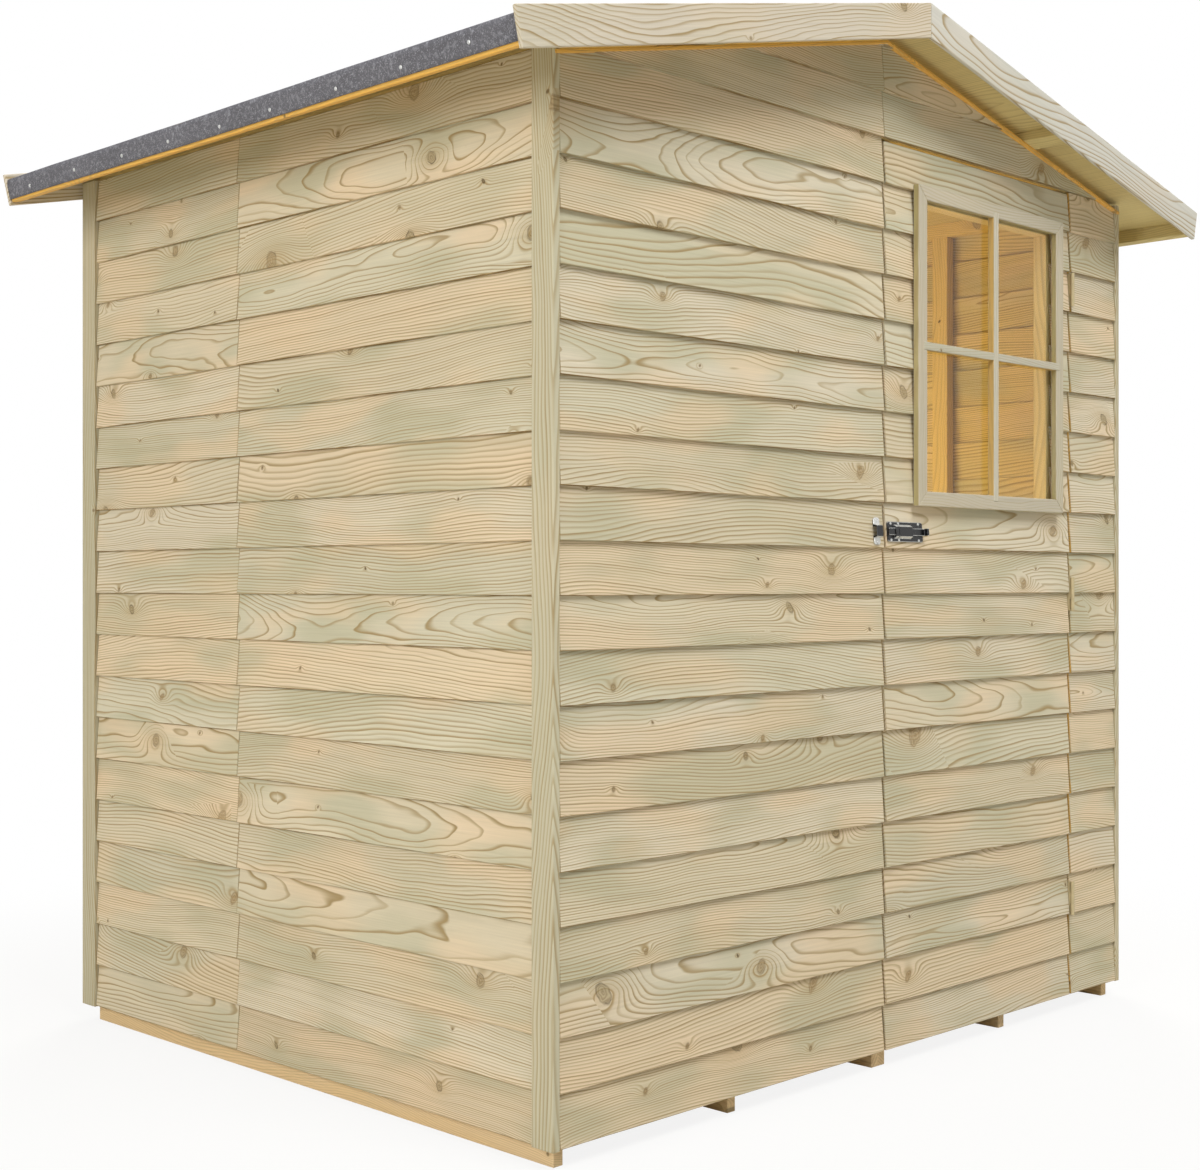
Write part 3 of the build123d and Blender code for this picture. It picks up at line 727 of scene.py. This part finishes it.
def board_piece(name, colours, cut_end=None):
    """Piece of treated boards with untreated backs, and dark edges that paint the shadow under each lap."""
    tints = [colours.cream, colours.straw, colours.sage, colours.blush, colours.straw]
    return Timber(name, tints, colours.inside, colours.edge, cut_end=cut_end)


def dress_timbers(nodes, finish, tints, rounding, edge=None):
    """Replace plain CAD timbers by rounded ones with their own grain."""
    for node in nodes:
        timber = Timber(f"{node}_timber", tints, edge=edge, edge_limit=0.3)
        for index, solid in enumerate(solids_of(cad_copy(node))):
            place = grain_place(solid)
            round_edges(solid, rounding)
            timber.add(solid, place, index)
        timber.finish(finish, (node,))


def disc_head(shape, place, radius, rise, recess=False):
    """Low domed head of a nail or a screw, on a plane's own axes; a screw's has a recess for the driver."""
    sides, top_share, round_share = 14, 0.9, 0.6
    rim_share, slope_share, recess_share = 0.3, 0.08, 0.5
    head = bmesh.new()
    radii = {"radius1": radius, "radius2": radius * top_share}
    bmesh.ops.create_cone(head, cap_ends=True, segments=sides, depth=rise, **radii)
    bmesh.ops.translate(head, vec=(0, 0, rise / 2), verts=head.verts)
    rim = [edge for edge in head.edges if min(vert.co.z for vert in edge.verts) > rise / 2]
    bevel_edges(head, rim, rise * round_share)
    if recess:
        top = max(head.faces, key=lambda face: face.calc_center_median().z)
        depth = -rise * recess_share
        bmesh.ops.inset_region(head, faces=[top], thickness=radius * rim_share)
        bmesh.ops.inset_region(head, faces=[top], thickness=radius * slope_share, depth=depth)
    bmesh.ops.transform(head, matrix=place, verts=head.verts)
    join_shape(shape, head)


class SHED_OT_wall_boards(Operator):
    """Lay the lapped boards of the four walls"""

    bl_idname = "shed.wall_boards"
    bl_label = "Wall boards"

    def execute(self, context):
        boards, colours = context.scene.shed_boards, context.scene.shed_colours
        slopes = gable_cuts(boards)
        low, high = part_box("front_wall_left")
        door_low, door_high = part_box("front_wall_gable")
        side_low, side_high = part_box("front_wall_right")
        foot = low.z
        front = Wall(boards, (1, 0, 0), -low.y, foot)
        front.cover("front_wall_left", colours, [(low.x, high.x)], high.z, slopes)
        span = (side_low.x, side_high.x)
        cuts = [*slopes, below(side_high.z)]
        front.cover("front_wall_right", colours, [span], side_high.z, cuts, cut_end=colours.glow_and_end_grain)
        first = round((door_low.z - foot) / boards.course_pitch)
        front.cover("front_wall_gable", colours, [(door_low.x, side_high.x)], door_high.z, slopes, first)

        low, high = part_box("back_wall")
        back = Wall(boards, (-1, 0, 0), high.y, foot)
        back.cover("back_wall", colours, [(low.x, 0.0), (0.0, high.x)], high.z, slopes)

        front_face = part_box("corner_strip_front_left")[0].y
        sides = (("left_wall", -1, boards.left_joint), ("right_wall", 1, boards.right_joint))
        for node, along, joint in sides:
            low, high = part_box(node)
            wall = Wall(boards, (0, along, 0), max(-low.x, high.x), foot)
            ends = sorted((along * low.y, along * high.y, along * (front_face + joint)))
            wall.cover(node, colours, [*zip(ends, ends[1:])], high.z, [below(high.z)])
        return {"FINISHED"}


class SHED_OT_door_boards(Operator):
    """Lay the door's lapped boards round its window"""

    bl_idname = "shed.door_boards"
    bl_label = "Door boards"

    def execute(self, context):
        boards, colours = context.scene.shed_boards, context.scene.shed_colours
        low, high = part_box("door_boards_below_window")
        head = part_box("door_boards_above_window")[1]
        pane_low, pane_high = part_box("window_glass")
        left, right = pane_low.x - boards.pane_gap, pane_high.x + boards.pane_gap
        under, over = below(pane_low.z - boards.pane_gap), above(pane_high.z + boards.pane_gap)
        top = below(head.z)
        wall = Wall(boards, (1, 0, 0), -low.y, low.z)
        timber = board_piece("door_boards", colours)
        for index in courses_to(boards, low.z, head.z):
            base = low.z + index * boards.course_pitch
            next_base = base + boards.course_pitch
            if next_base + boards.overlap <= pane_low.z or base >= pane_high.z:
                lengths = [(low.x, high.x, [top])]
            else:
                lengths = [(low.x, left, [top]), (right, high.x, [top])]
                if base < pane_low.z:
                    lengths.append((left, right, [under]))
                if next_base > pane_high.z:
                    lengths.append((left, right, [over, top]))
            for start, end, cuts in lengths:
                wall.course(timber, index, start, end, cuts, key=index)
        nodes = ("door_boards_below_window", "door_boards_above_window", "door_boards_beside_window")
        timber.finish("board", nodes)
        return {"FINISHED"}


class SHED_OT_timbers(Operator):
    """Dress the corner strips, the frames, the roof timbers, the bearers and the casing"""

    bl_idname = "shed.timbers"
    bl_label = "Timbers"

    def execute(self, context):
        boards, colours = context.scene.shed_boards, context.scene.shed_colours
        ends, sides = ("front", "back"), ("left", "right")
        strips = [f"corner_strip_{end}_{side}" for end in ends for side in sides]
        dress_timbers(strips, "trim", [colours.strip], boards.trim_round)
        for side, tint in zip(sides, (colours.trim, colours.pale)):
            barges = [f"{end}_barge_board_{side}" for end in ends]
            dress_timbers(barges, "barge", [tint], boards.trim_round)
        casing = ["window_jambs", "window_head_and_sill"]
        dress_timbers(casing, "casing", [colours.casing], boards.trim_round, colours.casing_side)
        frames = [f"{wall}_wall_{kind}" for wall in (*ends, *sides) for kind in ("studs", "rails")]
        frames += ["door_header", "door_stiles", "door_rails", "door_brace"]
        roof = [f"{kind}_{side}" for kind in ("roof_panel", "purlin") for side in sides]
        dress_timbers(frames, "frame", [colours.honey], boards.timber_round)
        dress_timbers([*roof, "eave_batten_right"], "frame", [colours.deck], boards.timber_round)
        # The left eave batten takes a painted warm glow of bounced light
        dress_timbers(["eave_batten_left"], "frame", [colours.glow_and_end_grain], boards.timber_round)
        self.gable_beads(boards, colours)
        dress_timbers(["bearers_left", "bearers_right"], "floor", [colours.fresh], boards.timber_round)
        return {"FINISHED"}

    @staticmethod
    def gable_beads(boards, colours):
        """Thin beads along the front gable, under the roof, in a warm orange that paints a glow of bounced
        light.
        """
        timber = Timber("gable_beads", [colours.glow_and_end_grain])
        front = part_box("front_wall_left")[0].y - boards.bead_proud
        apex = Vector((0, front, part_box("back_wall")[1].z))
        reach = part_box("right_wall")[1].x / math.cos(boards.roof_pitch)
        for side in (-1, 1):
            slope = Vector((math.cos(boards.roof_pitch), 0, -side * math.sin(boards.roof_pitch)))
            across = Vector((0, -1, 0)).cross(slope)
            corner = apex - across * boards.bead_height
            if side < 0:
                corner -= slope * reach
            place = place_of(slope, across, corner)
            size = (reach, boards.bead_height, boards.bead_depth)
            timber.add(plank(boards, size, place, boards.edge_round), place, side)
        timber.finish("frame", body="shed", slot="frame_timber")


class SHED_OT_floor_boards(Operator):
    """Lay the floor panels as boards that run front to back"""

    bl_idname = "shed.floor_boards"
    bl_label = "Floor boards"

    def execute(self, context):
        boards, colours = context.scene.shed_boards, context.scene.shed_colours
        for node in ("floor_left", "floor_right"):
            low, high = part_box(node)
            count = round((high.x - low.x) / boards.floor_board_width)
            width = (high.x - low.x) / count
            timber = Timber(f"{node}_boards", [colours.fresh, colours.honey])
            for index in range(count):
                corner = Vector((low.x + (index + 1) * width - boards.joint_gap / 2, low.y, high.z))
                place = place_of(Vector((0, 1, 0)), Vector((-1, 0, 0)), corner)
                size = (high.y - low.y, width - boards.joint_gap, high.z - low.z)
                timber.add(plank(boards, size, place, boards.timber_round), place, index)
            timber.finish("floor", (node,))
        return {"FINISHED"}


class Slope:
    """One slope of the roof: the way down it, the way out of it, and its reach from the ridge."""

    def __init__(self, boards, side):
        low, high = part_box("roof_felt")
        self.side = side
        self.front = low.y
        self.depth = high.y - low.y
        self.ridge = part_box("roof_panel_left")[1].z
        self.sine = math.sin(boards.roof_pitch)
        self.cosine = math.cos(boards.roof_pitch)
        self.run = high.x / self.cosine
        self.down = Vector((side * self.cosine, 0, -self.sine))
        self.out = Vector((side * self.sine, 0, self.cosine))

    def point(self, reach, y, rise):
        """Place at a reach from the ridge and a rise over the roof boards."""
        return Vector((0, y, self.ridge)) + self.down * reach + self.out * rise

    def y_at(self, share):
        """Place at a share of the way from the front edge to the back edge."""
        return self.front + share * self.depth


class SHED_OT_felt(Operator):
    """Roll the felt over both slopes, turn it down over the eaves, cap the ridge and nail it"""

    bl_idname = "shed.felt"
    bl_label = "Roof felt"

    def execute(self, context):
        boards, fittings = context.scene.shed_boards, context.scene.shed_fittings
        nails = bmesh.new()
        for side, name in ((-1, "left"), (1, "right")):
            slope = Slope(boards, side)
            sheet = self.sheet(fittings, slope)
            finish_piece(f"roof_felt_{name}", sheet, "felt", ("roof_felt",), smooth=True)
            self.drive_nails(fittings, slope, nails)
        cap = self.cap(fittings, slope)
        finish_piece("ridge_cap", cap, "felt", body="shed", slot="roofing_felt", smooth=True)
        finish_piece("felt_nails", nails, "zinc", body="shed", slot="hinge_steel")
        return {"FINISHED"}

    @staticmethod
    def grid(columns, rows):
        """Flat sheet from 0 to 1 both ways."""
        shape = bmesh.new()
        bmesh.ops.create_grid(shape, x_segments=columns, y_segments=rows, size=0.5)
        bmesh.ops.translate(shape, vec=(0.5, 0.5, 0), verts=shape.verts)
        return shape

    @staticmethod
    def thicken(shape, thickness):
        """Turn a sheet's face up and give the sheet its thickness."""
        bmesh.ops.recalc_face_normals(shape, faces=shape.faces)
        if sum(face.normal.z for face in shape.faces) < 0:
            bmesh.ops.reverse_faces(shape, faces=shape.faces)
        bmesh.ops.solidify(shape, geom=shape.faces[:], thickness=-thickness)
        return shape

    def sheet(self, fittings, slope):
        """One slope's sheet, bent down over the eave, with its points closer together towards the bend."""
        shape = self.grid(columns=70, rows=60)
        crowding, lift, ripple_height, ripple_scale = 0.6, 0.0005, 0.0009, 5
        bend = fittings.felt_bend
        arc = bend * math.pi / 2
        flat = slope.run - fittings.felt_thickness - bend
        total = flat + arc + fittings.felt_turn_down - bend
        for vert in shape.verts:
            travel = vert.co.x ** crowding * total
            turn = min(max(travel - flat, 0) / bend, math.pi / 2)
            reach = min(travel, flat) + bend * math.sin(turn)
            drop = bend * (1 - math.cos(turn)) + max(travel - flat - arc, 0)
            y = slope.y_at(vert.co.y)
            ripple = noise.noise(Vector((travel * ripple_scale, y * ripple_scale, slope.side)))
            vert.co = slope.point(reach, y, ripple * ripple_height + lift - drop)
        return self.thicken(shape, fittings.felt_thickness)

    def cap(self, fittings, slope):
        """Strip over the ridge, on top of both sheets, with ripples towards its edges."""
        shape = self.grid(columns=24, rows=60)
        fold, gap, ripple_height = 0.012, 0.0012, 0.0008
        ripple_across, ripple_along, ripple_seed = 9, 6, 7
        width = fittings.ridge_cap_width
        lift = (fittings.felt_thickness + gap) / slope.cosine
        for vert in shape.verts:
            travel = (vert.co.x * 2 - 1) * width
            y = slope.y_at(vert.co.y)
            drop = (math.sqrt(travel * travel + fold * fold) - fold) * slope.sine
            ripple = noise.noise(Vector((travel * ripple_across, y * ripple_along, ripple_seed)))
            wave = ripple * ripple_height * abs(travel) / width
            vert.co = (travel * slope.cosine, y, slope.ridge - drop + lift + wave)
        return self.thicken(shape, fittings.felt_thickness)

    @staticmethod
    def drive_nails(fittings, slope, nails):
        """Nails along the turned-down felt and along the ridge cap's edge."""
        eave_seat, cap_seat, cap_row_share = 0.0004, 0.0062, 0.86
        eave_stray, cap_stray, depth_shares = 0.12, 0.1, (0.5, 0.72)
        rng = random.Random(f"nails {slope.side}")
        along = Vector((0, slope.side, 0))
        count = fittings.eave_nails
        for index in range(count):
            y = slope.y_at((index + 0.5 + rng.uniform(-eave_stray, eave_stray)) / count)
            depth = fittings.felt_turn_down * rng.uniform(*depth_shares)
            place = place_of(along, slope.out, slope.point(slope.run + eave_seat, y, -depth))
            disc_head(nails, place, fittings.nail_radius, fittings.nail_rise)
        count = count * 2
        for index in range(count):
            y = slope.y_at((index + 0.5 + rng.uniform(-cap_stray, cap_stray)) / count)
            reach = fittings.ridge_cap_width * cap_row_share
            place = place_of(along, -slope.down, slope.point(reach, y, cap_seat))
            disc_head(nails, place, fittings.nail_radius, fittings.nail_rise)


class SHED_OT_glazing(Operator):
    """Set the pane and the glazing bars into the casing"""

    bl_idname = "shed.glazing"
    bl_label = "Glazing"

    def execute(self, context):
        boards, fittings = context.scene.shed_boards, context.scene.shed_fittings
        colours = context.scene.shed_colours
        low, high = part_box("window_jambs")
        middle = (low + high) / 2
        jambs = [vert.co.x for vert in frame["nodes"]["window_jambs"].data.vertices]
        clear_left = max(x for x in jambs if x < middle.x)
        clear_right = min(x for x in jambs if x > middle.x)
        member = clear_left - low.x
        front = low.y - fittings.bar_proud
        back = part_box("window_glass")[0].y
        middle_x = middle.x + fittings.bar_offset
        timber = Timber("glazing_bars", [colours.bar], edge=colours.bar_side, edge_limit=0.3)
        housing = fittings.bar_housing
        upright = Vector((middle_x + fittings.bar_width / 2, front, low.z + member - housing))
        place = place_of(up, Vector((-1, 0, 0)), upright)
        size = (high.z - low.z - 2 * member + 2 * housing, fittings.bar_width, back - front)
        timber.add(plank(boards, size, place, boards.edge_round), place, "upright")
        rail_low = middle.z - fittings.rail_height / 2
        spans = (
            (clear_left - housing, middle_x - fittings.bar_width / 2),
            (middle_x + fittings.bar_width / 2, clear_right + housing),
        )
        for start, end in spans:
            place = place_of(Vector((1, 0, 0)), up, Vector((start, front, rail_low)))
            size = (end - start, fittings.rail_height, back - front)
            timber.add(plank(boards, size, place, boards.edge_round), place, f"rail {start:.2f}")
        timber.finish("casing", body="door", slot="trim_timber")
        frame["nodes"]["window_glass"].data.materials.clear()
        frame["nodes"]["window_glass"].data.materials.append(finishes["glass"])
        return {"FINISHED"}


class SHED_OT_fittings(Operator):
    """Finish the hinges, the bolt and its keeper, and drive their screws"""

    bl_idname = "shed.fittings"
    bl_label = "Hinges and bolt"

    def execute(self, context):
        boards, fittings = context.scene.shed_boards, context.scene.shed_fittings
        tilt = board_tilt(boards)
        out = Vector((0, -math.cos(tilt), math.sin(tilt)))
        rise = Vector((0, math.sin(tilt), math.cos(tilt)))
        for node, finish in (
            ("hinge_frame_leaves", "hinge"),
            ("hinge_door_leaves", "hinge"),
            ("bolt_plate", "steel"),
            ("bolt_bar", "steel"),
            ("bolt_keeper", "steel"),
        ):
            shape = cad_copy(node)
            rims = set(round_edges(shape, fittings.steel_round))
            foot = fittings.plate_thickness if node == "bolt_keeper" else 0.0
            # Marks the faces that take a painted highlight
            self.painted_highlight(shape, rims, out, rise, foot)
            finish_piece(f"{node}_steel", shape, finish, (node,))
        for name, node, shares, inset in (
            ("bolt_screws", "bolt_plate", fittings.plate_screws, fittings.plate_inset),
            ("keeper_screws", "bolt_keeper", (0.5,), fittings.keeper_inset),
        ):
            self.screws(fittings, name, node, shares, inset, out, rise)
        return {"FINISHED"}

    @staticmethod
    def painted_highlight(shape, rims, out, rise, foot):
        """Mark the rounded edges, the sloping sides and a foot as uncoated metal, a painted highlight where
        they catch the light.
        """
        least_slope, most_slope, foot_reach = 0.25, 0.93, 1.2
        layer = shape.faces.layers.float.new("painted_highlight")
        back = min(vert.co.dot(out) for vert in shape.verts)
        for face in shape.faces:
            facing = face.normal.dot(out)
            sloping = least_slope < facing < most_slope and abs(face.normal.dot(rise)) > least_slope
            height = face.calc_center_median().dot(out) - back
            highlighted = face in rims or sloping or (foot and height < foot * foot_reach)
            face[layer] = 1.0 if highlighted else 0.0

    @staticmethod
    def screws(fittings, name, node, shares, inset, out, rise):
        """Two rows of screws on a fitting's plate, at shares of its length."""
        low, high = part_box(node)
        middle = (low + high) / 2
        half = (high.z - low.z) / 2 - inset
        back = min(vert.co.dot(out) for vert in frame["nodes"][node].data.vertices)
        shape = bmesh.new()
        for share in shares:
            for side in (-1, 1):
                point = Vector((low.x + share * (high.x - low.x), middle.y, middle.z)) + rise * side * half
                point += out * (back + fittings.plate_thickness - point.dot(out))
                place = place_of(Vector((1, 0, 0)), rise, point)
                disc_head(shape, place, fittings.screw_radius, fittings.screw_rise, recess=True)
        finish_piece(name, shape, "zinc", body=frame["nodes"][node]["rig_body"], slot="hinge_steel")


class SHED_OT_stage(Operator):
    """Set the floor, the lamps and the camera"""

    bl_idname = "shed.stage"
    bl_label = "Stage"

    def execute(self, context):
        scene, stage = context.scene, context.scene.shed_stage
        scene.view_settings.view_transform = "Standard"
        self.floor(scene, stage)
        self.world(scene, stage)
        self.lamps(scene, stage)
        camera = bpy.data.objects.new("camera", bpy.data.cameras.new("camera"))
        camera.location = stage.camera_place
        camera.rotation_euler = (math.pi / 2, 0, -stage.camera_turn)
        camera.data.lens = stage.lens
        camera.data.sensor_fit = "HORIZONTAL"
        scene.collection.objects.link(camera)
        scene.camera = camera
        return {"FINISHED"}

    def floor(self, scene, stage):
        """Wide flat floor under the shed."""
        shape = bmesh.new()
        bmesh.ops.create_grid(shape, x_segments=1, y_segments=1, size=stage.floor_size / 2)
        mesh = bpy.data.meshes.new("floor")
        shape.to_mesh(mesh)
        shape.free()
        mesh.materials.append(self.floor_finish(stage))
        floor = bpy.data.objects.new("floor", mesh)
        scene.collection.objects.link(floor)

    @staticmethod
    def seen(shader):
        """1 where the camera looks, straight, by a reflection or through glass."""
        paths = shader.node("ShaderNodeLightPath")
        straight = shader.math("MAXIMUM", paths["Is Camera Ray"], paths["Is Glossy Ray"])
        return shader.math("MAXIMUM", straight, paths["Is Transmission Ray"])

    def floor_finish(self, stage):
        """Pale floor that fades to white away from the shed and keeps its shadow."""
        near_share, fade_from, fade_to = 0.87, 1.2, 2.6
        shader = Shader("pale_floor")
        place = shader.node("ShaderNodeTexCoord")["Object"]
        away = shader.node("ShaderNodeVectorMath", {"operation": "LENGTH"}, {0: place})["Value"]
        fade = shader.ramp(away, fade_from, fade_to)
        lift = self.seen(shader) * (near_share + fade * (1 - near_share))
        matt = shader.node("ShaderNodeBsdfDiffuse", {}, {"Color": stage.floor_colour})["BSDF"]
        glow = shader.node("ShaderNodeEmission", {}, {"Color": (1, 1, 1), "Strength": 1.0})["Emission"]
        shown = shader.node("ShaderNodeMixShader", {}, {0: lift, 1: matt, 2: glow})["Shader"]
        shader.node("ShaderNodeOutputMaterial", {}, {"Surface": shown})
        return shader.material

    def world(self, scene, stage):
        """White surroundings that light the shed mostly from overhead."""
        full_sky_height = 0.7
        world = bpy.data.worlds.new("studio")
        shader = Shader("studio", world)
        direction = shader.node("ShaderNodeTexCoord")["Generated"]
        height = shader.split(direction)[2]
        light = stage.horizon + shader.ramp(height, 0.0, full_sky_height) * (stage.sky - stage.horizon)
        seen = self.seen(shader)
        strength = seen + (1 - seen) * light
        tone = shader.mix(seen, stage.ambient, (1, 1, 1))
        shown = shader.node("ShaderNodeBackground", {}, {"Color": tone, "Strength": strength})["Background"]
        shader.node("ShaderNodeOutputWorld", {}, {"Surface": shown})
        scene.world = world

    def lamps(self, scene, stage):
        """Square lamps aimed at the shed, and a warm one inside that shows only by its light."""
        white = (1, 1, 1)
        for name, power, tone, place, target in (
            ("left_lamp", stage.left, white, (-7.0, -1.1, 2.9), (-0.5, 0, 0.9)),
            ("front_lamp", stage.front, stage.front_colour, (-0.7, -4.7, 7.4), (0, -0.5, 0.9)),
            ("fill_lamp", stage.fill, white, (4.7, 4.6, 6.8), (0, 0, 0.9)),
        ):
            lamp = self.lamp(scene, name, "AREA", power, tone, place)
            lamp.data.size = stage.lamp_size
            lamp.rotation_euler = (Vector(target) - Vector(place)).to_track_quat("-Z", "Y").to_euler()
        tone, place = stage.inside_colour, stage.inside_place
        lamp = self.lamp(scene, "inside_lamp", "POINT", stage.inside, tone, place)
        lamp.data.shadow_soft_size = stage.inside_radius
        lamp.visible_camera = lamp.visible_glossy = lamp.visible_transmission = False

    @staticmethod
    def lamp(scene, name, kind, power, tone, place):
        """Lamp of a kind at a place."""
        data = bpy.data.lights.new(name, kind)
        data.energy = power
        data.color = tone
        lamp = bpy.data.objects.new(name, data)
        lamp.location = place
        scene.collection.objects.link(lamp)
        return lamp


class SHED_PT_dressing(Panel):
    """Lists the shed's sizes and colours, its stage and the steps"""

    bl_idname = "SHED_PT_dressing"
    bl_label = "Garden Shed"
    bl_space_type = "VIEW_3D"
    bl_region_type = "UI"
    bl_category = "Shed"

    def draw(self, context):
        for name in groups:
            group = getattr(context.scene, name)
            box = self.layout.box()
            for key in group.bl_rna.properties.keys():
                if key not in {"rna_type", "name"}:
                    box.prop(group, key)
        for operator in operators:
            self.layout.operator(operator.bl_idname)


operators = (
    SHED_OT_wall_boards,
    SHED_OT_door_boards,
    SHED_OT_timbers,
    SHED_OT_floor_boards,
    SHED_OT_felt,
    SHED_OT_glazing,
    SHED_OT_fittings,
    SHED_OT_stage,
)
groups = {
    "shed_boards": ShedBoards,
    "shed_fittings": ShedFittings,
    "shed_colours": ShedColours,
    "shed_stage": ShedStage,
}


def register():
    for name, group in groups.items():
        bpy.utils.register_class(group)
        setattr(bpy.types.Scene, name, PointerProperty(type=group))
    for kind in (*operators, SHED_PT_dressing):
        bpy.utils.register_class(kind)


def unregister():
    for kind in (SHED_PT_dressing, *reversed(operators)):
        bpy.utils.unregister_class(kind)
    for name, group in groups.items():
        delattr(bpy.types.Scene, name)
        bpy.utils.unregister_class(group)


def main():
    """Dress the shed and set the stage."""
    register()
    make_finishes(bpy.context.scene.shed_colours)
    bpy.ops.shed.wall_boards()
    bpy.ops.shed.door_boards()
    bpy.ops.shed.timbers()
    bpy.ops.shed.floor_boards()
    bpy.ops.shed.felt()
    bpy.ops.shed.glazing()
    bpy.ops.shed.fittings()
    bpy.ops.shed.stage()


if __name__ == "__main__":
    main()
